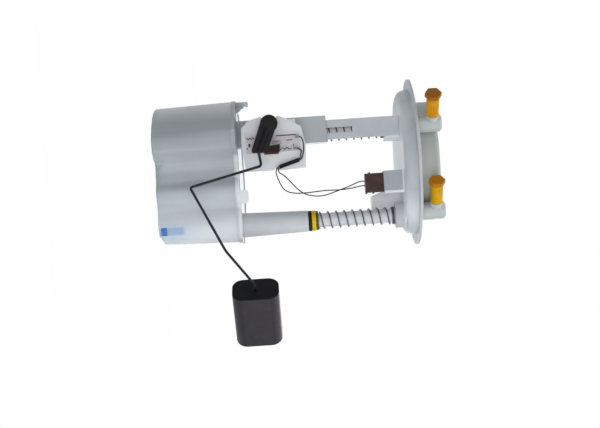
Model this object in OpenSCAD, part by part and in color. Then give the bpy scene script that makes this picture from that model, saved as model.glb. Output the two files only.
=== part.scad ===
// Fuel tank sending unit: a reservoir that slides on two sprung guide tubes below a round
// tank flange, with a float arm that swings in front of the reservoir.
// Millimetres. Z runs up from the reservoir's underside and -Y is the float arm's side.

/* [Flange] */
// Radius of the flange disc
flange_r = 65; // [62:0.5:70]
// Thickness of the flange disc
flange_t = 2.6; // [2:0.1:3.4]
// Height of the disc's underside over the reservoir's underside, fully extended
flange_z = 198.2; // [194:0.5:206]
// Radius of the drum that drops into the tank's hole
drum_r = 56.8; // [56:0.2:59]
// Depth of the drum below the disc
drum_h = 9.5; // [9:0.1:12]
// Radius of the drum's lower edge
drum_edge_r = 7; // [5:0.5:8]
// Wall of the drum
drum_wall = 3; // [2.5:0.1:3.5]
// Radius of the opening between the drum and the cover
mouth_r = 43.5; // [42:0.1:44]
// Radius of the cover
cover_r = 46.5; // [46:0.1:47]
// Height of the cover over the disc
cover_h = 15.2; // [14.5:0.1:18]
// Wall of the cover
cover_wall = 2; // [1.5:0.1:2.4]

/* [Spigots] */
// Radius of the supply spigot's hub
hub_r = 6.8; // [6.4:0.1:7.2]
// Height of a spigot's axis over the disc
spigot_rise = 10.6; // [10:0.1:11.4]
// Turn of the supply spigot away from the X axis
supply_turn = 40; // [36:0.5:44]
// Turn of the return spigot away from the X axis
return_turn = 45; // [41:0.5:49]
// Outer radius of the spigots
spigot_r = 3.95; // [3.8:0.05:4.1]
// Bore radius of the spigots
spigot_bore_r = 2.4; // [2:0.1:2.8]
// Length of a spigot from its hub's axis
spigot_len = 25; // [24:0.5:28]
// Radius of the collar under a cap
collar_r = 5; // [4.8:0.1:5.4]
// Reach of the collar from the hub's axis
collar_reach = 8.9; // [8.6:0.1:9.5]
// Wall of a transport cap
cap_wall = 0.7; // [0.6:0.05:1]
// Width of a cap's hexagonal head over its corners
cap_head_w = 12.6; // [12:0.1:13.4]
// Thickness of a cap's head
cap_head_t = 3.4; // [2.6:0.1:4]

/* [Guides] */
// Place of the supply guide's axis
supply_x = 41; // [40:0.2:42]
// Place of the supply guide's axis, towards the arm
supply_y = -20; // [-21:0.2:-19]
// Place of the return guide's axis
return_x = -26.3; // [-27:0.1:-26]
// Place of the return guide's axis, towards the arm
return_y = -15; // [-16:0.2:-14]
// Outer radius of the guide tubes
guide_r = 5.55; // [5.4:0.05:5.65]
// Bore radius of the guide tubes
guide_bore_r = 3.6; // [3:0.1:4]
// Travel of the reservoir up its guides
travel = 34; // [28:1:34]
// Radius of the bosses that hold the guide tubes
boss_r = 9.75; // [9.4:0.05:10]
// Depth of the supply boss below the drum
supply_boss_drop = 7.2; // [6:0.1:9]
// Depth of the return boss below the drum
return_boss_drop = 11.7; // [10:0.1:13]
// Wire radius of the springs
spring_wire_r = 0.5; // [0.4:0.05:0.6]
// Radius of the springs at the middle of their wire
spring_r = 6.4; // [6.3:0.05:6.5]
// Width of the guide rail
rail_w = 15; // [14:0.5:16]
// Thickness of the guide rail
rail_t = 1.8; // [1.4:0.1:2]
// Depth of the rail's side wall
rail_d = 16; // [12:0.5:17]
// Width of the slot along the rail
rail_slot_w = 4; // [3.4:0.2:5]

/* [Reservoir] */
// Place of the pot's centre
pot_x = -1.5; // [-2.5:0.1:-0.5]
// Radius of the pot at its base
pot_base_r = 53.2; // [52.7:0.1:54.2]
// Radius of the pot at its rim
pot_rim_r = 55; // [54.5:0.1:55.5]
// Height of the pot
pot_h = 60.3; // [57:0.1:62]
// Wall of the pot
pot_wall = 2; // [1.6:0.1:2.4]
// Depth from the centre to the pot's flat front
front_depth = 46; // [45.5:0.1:46.5]
// Depth from the centre to the recess beside the arm
recess_depth = 32; // [31:0.1:33]
// Place where the recess starts at the flat front
recess_x = -18; // [-19:0.1:-17]
// Width of the slope from the flat front to the recess
recess_run = 9; // [8:0.1:10]
// Thickness of the lid
lid_t = 3; // [2.6:0.1:3.4]
// Overhang of the lid all round
lid_lip = 0.4; // [0.2:0.1:0.8]
// Height of the curb on the lid
curb_h = 0.8; // [0.6:0.1:1.2]
// Outer radius of the supply sleeve at its foot
sleeve_foot_r = 9.4; // [9:0.1:10]
// Outer radius of the supply sleeve at its mouth
sleeve_mouth_r = 8.1; // [7.9:0.1:8.5]
// Height of the supply sleeve's mouth
supply_mouth_z = 114.4; // [112:0.2:116]
// Height of the return sleeve's mouth
return_mouth_z = 132.5; // [130:0.5:134]
// Thickness of the black seal at the supply sleeve's mouth
seal_t = 2.6; // [2:0.1:3]
// Thickness of the yellow collar
yellow_t = 3.2; // [2.6:0.1:3.6]
// Thickness of the dark washer under the spring
washer_t = 2; // [1.5:0.1:2.5]
// Radius of the yellow collar
yellow_r = 7.9; // [7.6:0.1:8.2]

/* [Sender] */
// Place of the float arm's pivot
pivot_x = -34; // [-34.5:0.1:-33.5]
// Height of the float arm's pivot over the lid
pivot_rise = 26.2; // [25.4:0.1:27]
// Depth of the cradle's face from the centre
cradle_depth = 43.5; // [43:0.1:43.9]
// Thickness of the cradle's face
cradle_t = 2.5; // [2:0.1:3]
// Thickness of the resistor card
card_t = 0.8; // [0.6:0.05:1]
// Radius of the pivot pin
pin_r = 2; // [1.6:0.1:2.4]
// Depth of the arm wire's plane from the centre
wire_depth = 50; // [49.8:0.1:50.6]
// Radius of the arm wire
wire_r = 1; // [0.9:0.05:1.1]
// Radius of the round head of the arm's holder
holder_r = 6.5; // [6:0.1:7]
// Length of the float
float_len = 47; // [42:0.5:49]
// Width of the float
float_w = 35.2; // [32:0.2:38]
// Depth of the float
float_d = 25; // [22:0.5:26]
// Radius of the float's long edges
float_edge_r = 8.6; // [7:0.1:10.5]
// Lean of the float away from the arm's plane
float_lean = 35; // [30:0.5:38]

/* [Fits] */
// Radial gap where a guide tube slides in its sleeve or seal
slide_gap = 0.1; // [0.06:0.01:0.2]
// Radial gap of the pivot pin in the holder
pin_gap = 0.05; // [0.02:0.01:0.08]
// Gap round pieces that are pushed or welded into a seat
seat_gap = 0.05; // [0.02:0.01:0.1]
// Gap round pieces that clip or drop into a pocket
pocket_gap = 0.25; // [0.15:0.01:0.35]

/* [Hidden] */
$fn = 64;

// Heights that follow from the sizes above
disc_top = flange_z + flange_t;
drum_z = flange_z - drum_h;
spigot_z = disc_top + spigot_rise;
hub_top = spigot_z + hub_r;
cover_top = disc_top + cover_h;
supply_boss_z = drum_z - supply_boss_drop;
return_boss_z = drum_z - return_boss_drop;
guide_top_z = drum_z + drum_wall;
gallery_z = guide_top_z + spigot_bore_r + 0.6;
lid_z = pot_h + lid_t;
pivot_z = lid_z + pivot_rise;
guide_low_z = lid_z + 1 + travel;
collar_z = supply_mouth_z + seal_t;
washer_z = collar_z + yellow_t;
supply_seat_z = washer_z + washer_t;

// Plan places that follow from the sizes above
supply_at = [supply_x, supply_y];
return_at = [return_x, return_y];
hub_ring_r = drum_r - 3.6;
supply_hub_at = hub_ring_r * [cos(-43.1), sin(-43.1)];
return_hub_at = hub_ring_r * [cos(-119.7), sin(-119.7)];
cap_start = collar_reach + 0.2;
cap_bore_r = spigot_r + 0.08;
guide_clear_r = guide_r + slide_gap;
rail_x = return_x - rail_w + 5.7;
rail_depth = -return_y + spring_r + spring_wire_r + 3.1;

// Inner connector: the plug hangs below the drum, the terminals run on to the outer socket
plug_x = 15;
plug_y = -25;
plug_w = 14.6;
plug_d = 14;
plug_h = 14.2;
socket_w = 17.2;
socket_d = 16;
socket_h = 15;
socket_z = drum_z - socket_h;
nose_w = 12;
nose_d = 11;
nose_h = 10;
pin_pitch = 3.4;
terminal_r = 0.55;
crimp_r = 1.1;
lead_r = 0.42;
outer_socket_y = flange_r - 29;
outer_socket_len = 18;
outer_socket_w = 20;
outer_socket_h = 14.2;
outer_pin_z = disc_top + outer_socket_h / 2;

// Sender face, as depths towards the arm's side
card_face = cradle_depth + card_t;
track_t = 0.12;
track_face = card_face + track_t;
carrier_back = track_face + 0.58;
holder_back = carrier_back + 1.05;
holder_front = wire_depth + 1.3;
strand_depth = cradle_depth + 1.6;

// Point of the sender from its X and height over the pivot, at a depth from the centre
function on_arm(p, depth) = [pivot_x + p[0], -depth, pivot_z + p[1]];

// Plan X and heights of an outline round the pivot
function round_pivot(points) = [for (p = points) [pivot_x + p[0], pivot_z + p[1]]];

// Arm wire from the holder's head to the float, as X and height over the pivot, by hand
wire_knees = [[4.5, -1.9], [21.3, -9.1], [31.3, -7.6], [44, -62], [93, -38.5], [116.3, -21]];
float_at = on_arm([123, -18.3], wire_depth - 2);
float_dir = [cos(float_lean), sin(float_lean), 0];
wire_depth_in_float = 20;

// Leads from the card's clips through the lead sleeve to the plug, by hand
sleeve_from = on_arm([28.4, 20.5], strand_depth);
sleeve_to = on_arm([32.8, 6.1], strand_depth);
lead_split = 0.5;
lead_sleeve_r = 1.5;
lead_sleeve_bore_r = 1.1;
plug_z = socket_z - plug_h;
signal_clip = [11, 18.9];
ground_clip = [19.4, 16.9];
clip_h = 2.6;

// First knots of both leads, from just over their clips, as X and height over the pivot
clip_exit = [0, clip_h + 0.2];
signal_start = [signal_clip + clip_exit, [11.4, 23.1], [14.6, 24.5], [20, 24.7], [25, 23.6]];
ground_start = [ground_clip + clip_exit, [21.4, 22.7], [24.7, 22.1]];

// Free runs as X, Y and height over the sleeve's end, with the plug hang higher than that end
hang = 63.9;
signal_run = [[2.6, -43.4, -1], [5.4, -42.4, 2.6], [10.2, -41, 7], [16, -39.4, 12], [20.2, -37.6, 17.6],
    [22.2, -35.6, 25], [22.1, -33, 32.4], [19.6, -30.6, 41.4], [16.2, -27.6, 52], [13.3, -25.4, 59.8]];
ground_run = [[1.5, -43.6, -3], [4.6, -42, -3], [9, -40, -1.6], [13.5, -38.5, 0.4], [17.3, -36.5, 4],
    [19.1, -34.6, 10.4], [19.3, -32.8, 19.4], [18.5, -30.4, 32.4], [18.6, -28, 44.4], [17.9, -26, 53.4],
    [16.7, -25, 60.8]];

// Knots of a free run, stretched to the real height between the sleeve and the plug
function hung(run) =
    let (stretch = (plug_z - sleeve_to[2]) / hang)
    [for (q = run) [q[0], q[1], sleeve_to[2] + q[2] * stretch]];

// Unit vector along v
function unit(v) = v / norm(v);

// Direction of a path at its point i
function tangent(p, i) = unit(p[min(i + 1, len(p) - 1)] - p[max(i - 1, 0)]);

// Ring of n points of radius r round c, square to t
function ring(c, t, ref, r, n) =
    let (u = unit(cross(t, ref)), v = cross(t, u))
    [for (k = [0:n - 1]) c + r * (cos(360 * k / n) * u + sin(360 * k / n) * v)];

// Rounded corner b between a and c, cut back by trim on both sides
function knee(a, b, c, trim, n) =
    let (p = b - trim * unit(b - a), q = b + trim * unit(c - b))
    [for (i = [0:n]) let (t = i / n) (1 - t) * (1 - t) * p + 2 * t * (1 - t) * b + t * t * q];

// Path with every inner corner rounded
function rounded(p, trim, n) = concat(
    [p[0]],
    [for (i = [1:len(p) - 2]) each knee(p[i - 1], p[i], p[i + 1], trim, n)],
    [p[len(p) - 1]]);

// Smooth curve through every point of p, with n steps in each stretch
function through(p, n) =
    let (last = len(p) - 1)
    concat([for (i = [0:last - 1], k = [0:n - 1])
        let (t = k / n, a = p[max(i - 1, 0)], b = p[i], c = p[i + 1], d = p[min(i + 2, last)])
        0.5 * (2 * b + (c - a) * t + (2 * a - 5 * b + 4 * c - d) * t * t
            + (3 * b - a - 3 * c + d) * t * t * t)], [p[last]]);

// Height of a spring's wire after a turns: closed end coils and an even pitch between
function coil_z(a, low, high, turns, low_dead, high_dead) =
    let (closed = 2.1 * spring_wire_r,
        live = turns - low_dead - high_dead,
        pitch = (high - low - 2 * spring_wire_r - closed * (low_dead + high_dead)) / live)
    low + spring_wire_r + closed * min(a, low_dead) + pitch * max(0, min(a - low_dead, live))
        + closed * max(0, a - low_dead - live);

// Path of a spring round a plan point
function coil_path(at, low, high, turns, low_dead, high_dead, steps) =
    [for (i = [0:steps * turns]) let (a = i / steps)
        [at[0] + spring_r * cos(360 * a), at[1] + spring_r * sin(360 * a),
            coil_z(a, low + seat_gap, high - seat_gap, turns, low_dead, high_dead)]];

// Round bar of n sides that follows a path
module strand(p, r, n, ref) {
    m = len(p);
    points = [for (i = [0:m - 1]) each ring(p[i], tangent(p, i), ref, r, n)];
    walls = [for (i = [0:m - 2], k = [0:n - 1])
        [i * n + k, (i + 1) * n + k, (i + 1) * n + (k + 1) % n, i * n + (k + 1) % n]];
    polyhedron(points, concat([[for (k = [0:n - 1]) k]], walls,
        [[for (k = [n - 1:-1:0]) (m - 1) * n + k]]), convexity = 10);
}

// Straight round bar from a to b
module bar(a, b, r) {
    d = b - a;
    translate(a) rotate([0, acos(d[2] / norm(d)), atan2(d[1], d[0])]) cylinder(h = norm(d), r = r);
}

// Upright cylinder between two heights over a plan point
module post(at, low, high, r) {
    translate([at[0], at[1], low]) cylinder(h = high - low, r = r);
}

// Box from its low and high corners
module block(low, high) {
    translate(low) cube(high - low);
}

// Plate on the arm's side: a polygon in X and Z between two depths from the centre
module face_plate(points, back, front) {
    translate([0, -back, 0]) rotate([90, 0, 0]) linear_extrude(front - back) polygon(points);
}

// Whatever is drawn upwards, set at a hub and laid along its spigot
module along_spigot(hub, turn) {
    translate([hub[0], hub[1], spigot_z]) rotate([0, 0, 180 + turn]) rotate([0, 90, 0]) children();
}

// Rounded lower edge of the drum, drawn in by inset
function drum_edge(inset) =
    let (r = drum_edge_r - inset)
    [for (i = [0:8]) let (a = -90 + i * 90 / 8)
        [drum_r - drum_edge_r + r * cos(a), drum_z + drum_edge_r + r * sin(a)]];

// Half section of the flange's disc and drum
function flange_section() = concat([[0, drum_z]], drum_edge(0),
    [[drum_r, flange_z], [flange_r, flange_z], [flange_r, flange_z + 0.6 * flange_t],
        [flange_r - 4, disc_top], [mouth_r, disc_top], [mouth_r, flange_z - 1],
        [drum_r - drum_wall, flange_z - 1], [drum_r - drum_wall, drum_z + 2 * drum_wall],
        [drum_r - 2 * drum_wall, drum_z + drum_wall], [0, drum_z + drum_wall]]);

// Drilled block that takes fuel from a guide tube to its spigot's foot
module gallery(from, to) {
    intersection() {
        rotate_extrude($fn = 128) polygon(concat([[0, drum_z + 0.3]], drum_edge(0.3),
            [[drum_r - 0.3, flange_z], [0, flange_z]]));
        union() {
            post(from, drum_z + 1, flange_z - 0.5, boss_r - 2);
            bar([from[0], from[1], gallery_z], [to[0], to[1], gallery_z], 3.4);
            post(to, drum_z + 1, flange_z - 0.5, 3.6);
        }
    }
}

// Bores of one guide: the tube's seat, the gallery and the spigot's foot
module gallery_bores(from, to, boss_z) {
    post(from, boss_z - 1, guide_top_z, guide_r + seat_gap);
    post(from, guide_top_z - 1, gallery_z, spigot_bore_r);
    bar([from[0], from[1], gallery_z], [to[0], to[1], gallery_z], spigot_bore_r - 0.4);
    post(to, gallery_z - 0.2, disc_top + 1, spigot_bore_r + 0.6 + seat_gap);
}

// Housing behind the supply spring, with one slanted corner
housing_low = [22, -6, drum_z - 23.7];
housing_high = [44, 9, drum_z + 1];
housing_cut = [2.8, 8.1];
housing_wall = 2.5;

module flange_plate() color("gainsboro") difference() {
    union() {
        rotate_extrude($fn = 128) polygon(flange_section());
        post(supply_at, supply_boss_z, drum_z + 1, boss_r);
        difference() {
            post(return_at, return_boss_z, drum_z + 1, boss_r);
            block([-60, -60, return_boss_z - 1], [0, -rail_depth + rail_t + 0.1, drum_z]);
            block([-60, -60, return_boss_z - 1], [rail_x + rail_t + 0.1, 0, drum_z]);
        }
        gallery(supply_at, supply_hub_at);
        gallery(return_at, return_hub_at);
        // Shroud of the inner connector
        block([plug_x - socket_w / 2, plug_y - socket_d / 2, socket_z],
            [plug_x + socket_w / 2, plug_y + socket_d / 2, drum_z + 1]);
        face_plate([[housing_low[0] + housing_cut[0], housing_low[2]], [housing_high[0], housing_low[2]],
            [housing_high[0], housing_high[2]], [housing_low[0], housing_high[2]],
            [housing_low[0], housing_low[2] + housing_cut[1]]], -housing_high[1], -housing_low[1]);
    }
    gallery_bores(supply_at, supply_hub_at, supply_boss_z);
    gallery_bores(return_at, return_hub_at, return_boss_z);
    // Pocket for the plug's nose
    block([plug_x - nose_w / 2 - pocket_gap, plug_y - nose_d / 2 - pocket_gap, socket_z - 1],
        [plug_x + nose_w / 2 + pocket_gap, plug_y + nose_d / 2 + pocket_gap, socket_z + nose_h + 1]);
    for (side = [-1, 1])
        post([plug_x + side * pin_pitch / 2, plug_y], socket_z, drum_z + drum_wall + 1,
            terminal_r + seat_gap);
    // Hollow of the housing, open into the drum
    block(housing_low + [housing_wall, housing_wall, 7],
        [housing_high[0] - housing_wall, housing_high[1] - housing_wall, drum_z + drum_wall + 1]);
}

module flange_cover() color("gainsboro") difference() {
    union() {
        post([0, 0], disc_top, cover_top - 2, cover_r);
        translate([0, 0, cover_top - 2]) cylinder(h = 2, r1 = cover_r, r2 = cover_r - 2);
        // Lip that drops into the disc's opening
        post([0, 0], flange_z, disc_top + 1, mouth_r - pocket_gap);
    }
    post([0, 0], flange_z - 1, disc_top + 0.5, mouth_r - pocket_gap - 1.6);
    post([0, 0], disc_top, cover_top - cover_wall, cover_r - cover_wall - 1.6);
    for (hub = [supply_hub_at, return_hub_at])
        post(hub, flange_z, cover_top + 1, hub_r + pocket_gap);
    block([plug_x - outer_socket_w / 2 - pocket_gap, outer_socket_y - pocket_gap, flange_z],
        [plug_x + outer_socket_w / 2 + pocket_gap, cover_r + 1, disc_top + outer_socket_h + pocket_gap]);
}

// One fuel spigot: a hub on the disc, a foot in the gallery and a tube that points sideways
module spigot(hub, turn) {
    difference() {
        union() {
            post(hub, disc_top, hub_top - 1.5, hub_r);
            translate([hub[0], hub[1], hub_top - 1.5]) cylinder(h = 1.5, r1 = hub_r, r2 = hub_r - 1.5);
            post(hub, gallery_z, disc_top + 1, spigot_bore_r + 0.6);
            along_spigot(hub, turn) cylinder(h = collar_reach, r = collar_r);
            along_spigot(hub, turn) cylinder(h = spigot_len - 1, r = spigot_r);
            along_spigot(hub, turn) translate([0, 0, spigot_len - 1])
                cylinder(h = 1, r1 = spigot_r, r2 = spigot_r - 0.6);
        }
        post(hub, gallery_z - 1, spigot_z, spigot_bore_r - 0.6);
        along_spigot(hub, turn) cylinder(h = spigot_len + 1, r = spigot_bore_r);
    }
}

module supply_spigot() color("whitesmoke") spigot(supply_hub_at, supply_turn);

module return_spigot() color("whitesmoke") spigot(return_hub_at, return_turn);

// Transport cap: a thin sleeve with a hexagonal head
module transport_cap(hub, turn) {
    along_spigot(hub, turn) difference() {
        union() {
            translate([0, 0, cap_start]) cylinder(h = spigot_len + 1 - cap_start, r = cap_bore_r + cap_wall);
            translate([0, 0, spigot_len + 0.9]) cylinder(h = cap_head_t, r = cap_head_w / 2, $fn = 6);
        }
        translate([0, 0, cap_start - 1]) cylinder(h = spigot_len + 1.3 - cap_start, r = cap_bore_r);
    }
}

module supply_cap() color("goldenrod") transport_cap(supply_hub_at, supply_turn);

module return_cap() color("goldenrod") transport_cap(return_hub_at, return_turn);

module outer_socket() color("gainsboro") {
    low = [plug_x - outer_socket_w / 2, outer_socket_y, disc_top];
    high = [plug_x + outer_socket_w / 2, outer_socket_y + outer_socket_len, disc_top + outer_socket_h];
    difference() {
        block(low, high);
        block(low + [1.8, 3, 1.8], high + [-1.8, 1, -1.8]);
        for (side = [-1, 1])
            bar([plug_x + side * pin_pitch / 2, outer_socket_y - 1, outer_pin_z],
                [plug_x + side * pin_pitch / 2, outer_socket_y + 5, outer_pin_z], terminal_r + seat_gap);
    }
}

// Two bent pins that run from the inner connector up and across to the outer socket
module flange_terminals() color("goldenrod") for (side = [-1, 1]) {
    x = plug_x + side * pin_pitch / 2;
    post([x, plug_y], socket_z + 3, outer_pin_z, terminal_r);
    translate([x, plug_y, outer_pin_z]) sphere(r = terminal_r);
    bar([x, plug_y, outer_pin_z], [x, outer_socket_y + 14, outer_pin_z], terminal_r);
}

// Hollow guide tube from the boss down into its sleeve
module guide_tube(at) {
    difference() {
        post(at, guide_low_z, guide_top_z - seat_gap, guide_r);
        post(at, guide_low_z - 1, guide_top_z + 1, guide_bore_r);
    }
}

module supply_guide_tube() color("lavender") guide_tube(supply_at);

module return_guide_tube() color("lavender") guide_tube(return_at);

// Channel with a long slot, in front of the return spring
module guide_rail() color("gainsboro") difference() {
    low_z = return_mouth_z - 22;
    union() {
        block([rail_x, -rail_depth, low_z], [rail_x + rail_w, -rail_depth + rail_t, drum_z]);
        block([rail_x, -rail_depth, low_z], [rail_x + rail_t, -rail_depth + rail_d, drum_z]);
    }
    block([return_x - rail_slot_w / 2 - 1.3, -rail_depth - 1, low_z + 4],
        [return_x + rail_slot_w / 2 - 1.3, -rail_depth + rail_t + 1, return_mouth_z + 20]);
}

module supply_spring() color("dimgray")
    strand(coil_path(supply_at, supply_seat_z, supply_boss_z, 11.5, 0.5, 2.25, 20),
        spring_wire_r, 8, [0, 0, 1]);

module return_spring() color("dimgray")
    strand(coil_path(return_at, return_mouth_z, return_boss_z, 9.5, 0.5, 2, 20), spring_wire_r, 8, [0, 0, 1]);

module harness_plug() color("#422e2e") difference() {
    union() {
        block([plug_x - plug_w / 2, plug_y - plug_d / 2, plug_z],
            [plug_x + plug_w / 2, plug_y + plug_d / 2, socket_z]);
        block([plug_x - nose_w / 2, plug_y - nose_d / 2, socket_z - 1],
            [plug_x + nose_w / 2, plug_y + nose_d / 2, socket_z + nose_h]);
        // Latch and keying ribs
        block([plug_x - plug_w / 2 - 0.9, plug_y - 2, plug_z + 3],
            [plug_x - plug_w / 2 + 1, plug_y + 2, plug_z + 4.4]);
        for (z = [0, 5.4])
            block([plug_x + plug_w / 2 - 1, plug_y - 5, plug_z + z],
                [plug_x + plug_w / 2 + 0.9, plug_y + 5, plug_z + z + 1.2]);
    }
    for (side = [-1, 1]) {
        at = [plug_x + side * pin_pitch / 2, plug_y];
        post(at, plug_z - 1, plug_z + 4.2, lead_r + seat_gap);
        post(at, plug_z + 4, socket_z + nose_h + 1, crimp_r + seat_gap);
    }
}

// Crimped sockets that grip the flange's pins inside the plug
module plug_terminals() color("goldenrod") for (side = [-1, 1]) {
    at = [plug_x + side * pin_pitch / 2, plug_y];
    difference() {
        post(at, plug_z + 4.5, socket_z + nose_h - 0.5, crimp_r);
        post(at, plug_z + 3, socket_z + nose_h + 1, terminal_r + seat_gap);
    }
}

// Outline of the reservoir between two heights, drawn in from its outside by inset
module pot_form(inset, low, high) {
    draft = (pot_rim_r - pot_base_r) / pot_h;
    // Shift of the recess's slope when the outline is drawn in
    slope = norm([recess_run, front_depth - recess_depth]);
    shift = inset * (slope - recess_run) / (front_depth - recess_depth);
    difference() {
        translate([pot_x, 0, low]) cylinder(h = high - low, $fn = 128,
            r1 = pot_base_r + draft * low - inset, r2 = pot_base_r + draft * high - inset);
        translate([0, 0, low - 1]) linear_extrude(high - low + 2) polygon([
            [-80, -80], [-80, -front_depth + inset], [recess_x - shift, -front_depth + inset],
            [recess_x + recess_run - shift, -recess_depth + inset], [80, -recess_depth + inset], [80, -80]]);
    }
    // Bulge beside the recess and the bulge over the supply guide
    for (bulge = [[14, -recess_depth + 6, 9.4], [supply_x - 3, supply_y, 14]])
        translate([bulge[0], bulge[1], low]) cylinder(h = high - low,
            r1 = bulge[2] + draft * low - inset, r2 = bulge[2] + draft * high - inset);
}

inlet_at = [-22, 18];
jet_at = [supply_x + 1, supply_y - 8.6];
jet_r = 3.1;
jet_snout = 2.8;
window_h = 4.4;

module reservoir_pot() color("lightgray") difference() {
    pot_form(0, 0, pot_h);
    pot_form(pot_wall, pot_wall, pot_h + 1);
    // Ring of inlet holes under the valve flap
    for (a = [0:60:300])
        post(inlet_at + 5 * [cos(a), sin(a)], -1, pot_wall + 1, 1.6);
    post(inlet_at, -1, pot_wall + 1, 1.5 + seat_gap);
    // Window in front of the jet pump
    block([jet_at[0] - jet_snout - 0.2, -45, pot_wall],
        [jet_at[0] + jet_snout + 0.2, jet_at[1] - 1, pot_wall + window_h]);
}

hook_x = pot_x - pot_rim_r + 1.8;

module reservoir_lid() color("whitesmoke") difference() {
    union() {
        pot_form(-lid_lip, pot_h, lid_z);
        // Ring that centres the lid inside the pot
        difference() {
            pot_form(pot_wall + pocket_gap, pot_h - 3, pot_h + 0.5);
            pot_form(pot_wall + pocket_gap + 1.6, pot_h - 4, pot_h);
        }
        // Curb on top
        difference() {
            pot_form(4, lid_z - 1, lid_z + curb_h);
            pot_form(5.8, lid_z - 2, lid_z + curb_h + 1);
            post(supply_at, lid_z, lid_z + curb_h + 1, sleeve_foot_r + pocket_gap);
        }
        // Lifting hook with its gusset
        block([hook_x, -14, lid_z - 1], [hook_x + 3, -3, lid_z + 9.8]);
        face_plate([[hook_x + 2, lid_z - 1], [hook_x + 9, lid_z - 1], [hook_x + 8.2, lid_z + 1.5],
            [hook_x + 6, lid_z + 3.6], [hook_x + 4.4, lid_z + 6.4], [hook_x + 2, lid_z + 7.4]], 5, 12);
        // Rounded tongue beside the bulge, with a foot in the lid
        block([14, -recess_depth - 3, lid_z - 1], [24, -recess_depth + 1.5, lid_z - 0.1]);
        block([14, -recess_depth - 3, lid_z - 1], [24, -recess_depth - 0.6, lid_z + 4.4]);
        block([16.5, -recess_depth - 3, lid_z + 4], [21.5, -recess_depth - 0.6, lid_z + 6.9]);
        for (x = [16.5, 21.5])
            translate([x, -recess_depth - 0.6, lid_z + 4.4]) rotate([90, 0, 0]) cylinder(h = 2.4, r = 2.5);
        // Nub on the rim
        block([pot_x + pot_rim_r - 3, -12, lid_z - 1], [pot_x + pot_rim_r + 1.6, -8, lid_z + 0.8]);
    }
    post(supply_at, pot_h - 5, lid_z + 1, 4 + seat_gap);
    post(return_at, pot_h - 5, lid_z + 1, 4 + seat_gap);
}

// Round tapered sleeve with a nipple through the lid
module supply_sleeve() color("whitesmoke") difference() {
    union() {
        translate([supply_x, supply_y, lid_z])
            cylinder(h = supply_mouth_z - lid_z, r1 = sleeve_foot_r, r2 = sleeve_mouth_r);
        post(supply_at, pot_h - 4, lid_z + 1, 4);
    }
    post(supply_at, lid_z + 0.6, supply_mouth_z + 1, guide_clear_r);
    post(supply_at, pot_h - 5, lid_z + 1, 2.4);
}

// Square sleeve that takes the return guide tube and the rail
module return_sleeve() color("gainsboro") difference() {
    low = [rail_x - 3.4, -rail_depth - 2.2, lid_z];
    high = [return_x + guide_clear_r + 2, return_y + guide_clear_r + 3, return_mouth_z];
    union() {
        block(low, high);
        post(return_at, pot_h - 4, lid_z + 1, 4);
    }
    post(return_at, lid_z + 0.6, return_mouth_z + 1, guide_clear_r);
    post(return_at, pot_h - 5, lid_z + 1, 2.4);
    // Pocket for the rail
    block([rail_x - pocket_gap, -rail_depth - pocket_gap, lid_z + 2],
        [rail_x + rail_w + pocket_gap, -rail_depth + rail_t + pocket_gap, return_mouth_z + 1]);
    block([rail_x - pocket_gap, -rail_depth - pocket_gap, lid_z + 2],
        [rail_x + rail_t + pocket_gap, -rail_depth + rail_d + pocket_gap, return_mouth_z + 1]);
}

// Ring that slides on the supply guide tube
module guide_ring(low, high, r) {
    difference() {
        post(supply_at, low, high, r);
        post(supply_at, low - 1, high + 1, guide_clear_r);
    }
}

module guide_seal() color("black") guide_ring(supply_mouth_z, collar_z, sleeve_mouth_r - 0.2);

module seal_collar() color("gold") guide_ring(collar_z, washer_z, yellow_r);

module spring_washer() color("darkolivegreen") guide_ring(washer_z, supply_seat_z, yellow_r - 0.5);

strainer_z = pot_wall + 0.3;
strainer_t = 5;
strainer_at = [10, 2];
strainer_r = 17;
strainer_mouth_r = 5;

module suction_pipe() color("whitesmoke") difference() {
    post(supply_at, strainer_z + strainer_t, pot_h - 4, 4);
    post(supply_at, strainer_z + strainer_t - 1, pot_h + 1, 2.4);
}

// Flat strainer bag from below the suction pipe to the middle of the pot
module suction_strainer() color("lightsteelblue") difference() {
    translate([0, 0, strainer_z]) linear_extrude(strainer_t) union() {
        translate(supply_at) circle(r = strainer_mouth_r);
        translate(strainer_at) circle(r = strainer_r);
        polygon([supply_at + [-4, -3], supply_at + [3, 4], strainer_at + [10, 13], strainer_at + [-7, -15]]);
    }
    post(supply_at, strainer_z + 1.5, strainer_z + strainer_t + 1, 2.4);
}

return_pipe_z = strainer_z + strainer_t + 5;

// Pipe from the return sleeve down and across to the jet pump
module return_pipe() color("whitesmoke") {
    knee_at = [return_x, return_y, return_pipe_z];
    difference() {
        post(return_at, return_pipe_z, pot_h - 4, 3);
        post(return_at, return_pipe_z, pot_h, 1.8);
    }
    translate(knee_at) sphere(r = 3);
    bar(knee_at, [jet_at[0] - jet_r - 0.1, jet_at[1], return_pipe_z], 2.2);
}

module jet_pump() color("steelblue") difference() {
    union() {
        intersection() {
            post(jet_at, pot_wall, pot_wall + 16.6, jet_r);
            pot_form(pot_wall + seat_gap, 0, pot_h);
        }
        // Snout that fills the window in the wall
        intersection() {
            block([jet_at[0] - jet_snout, -45, pot_wall + 0.2],
                [jet_at[0] + jet_snout, jet_at[1], pot_wall + window_h - 0.2]);
            pot_form(0.3, 0, pot_h);
        }
    }
    bar([jet_at[0] - jet_r - 1, jet_at[1], return_pipe_z], [jet_at[0], jet_at[1], return_pipe_z], 1.4);
    post(jet_at, pot_wall + 3, return_pipe_z, 1.2);
}

// Umbrella flap over the inlet holes
module inlet_valve_flap() color("dimgray") {
    translate([inlet_at[0], inlet_at[1], pot_wall]) cylinder(h = 1.4, r1 = 8.4, r2 = 7.2);
    post(inlet_at, 0.4, pot_wall + 1, 1.5);
}

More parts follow.
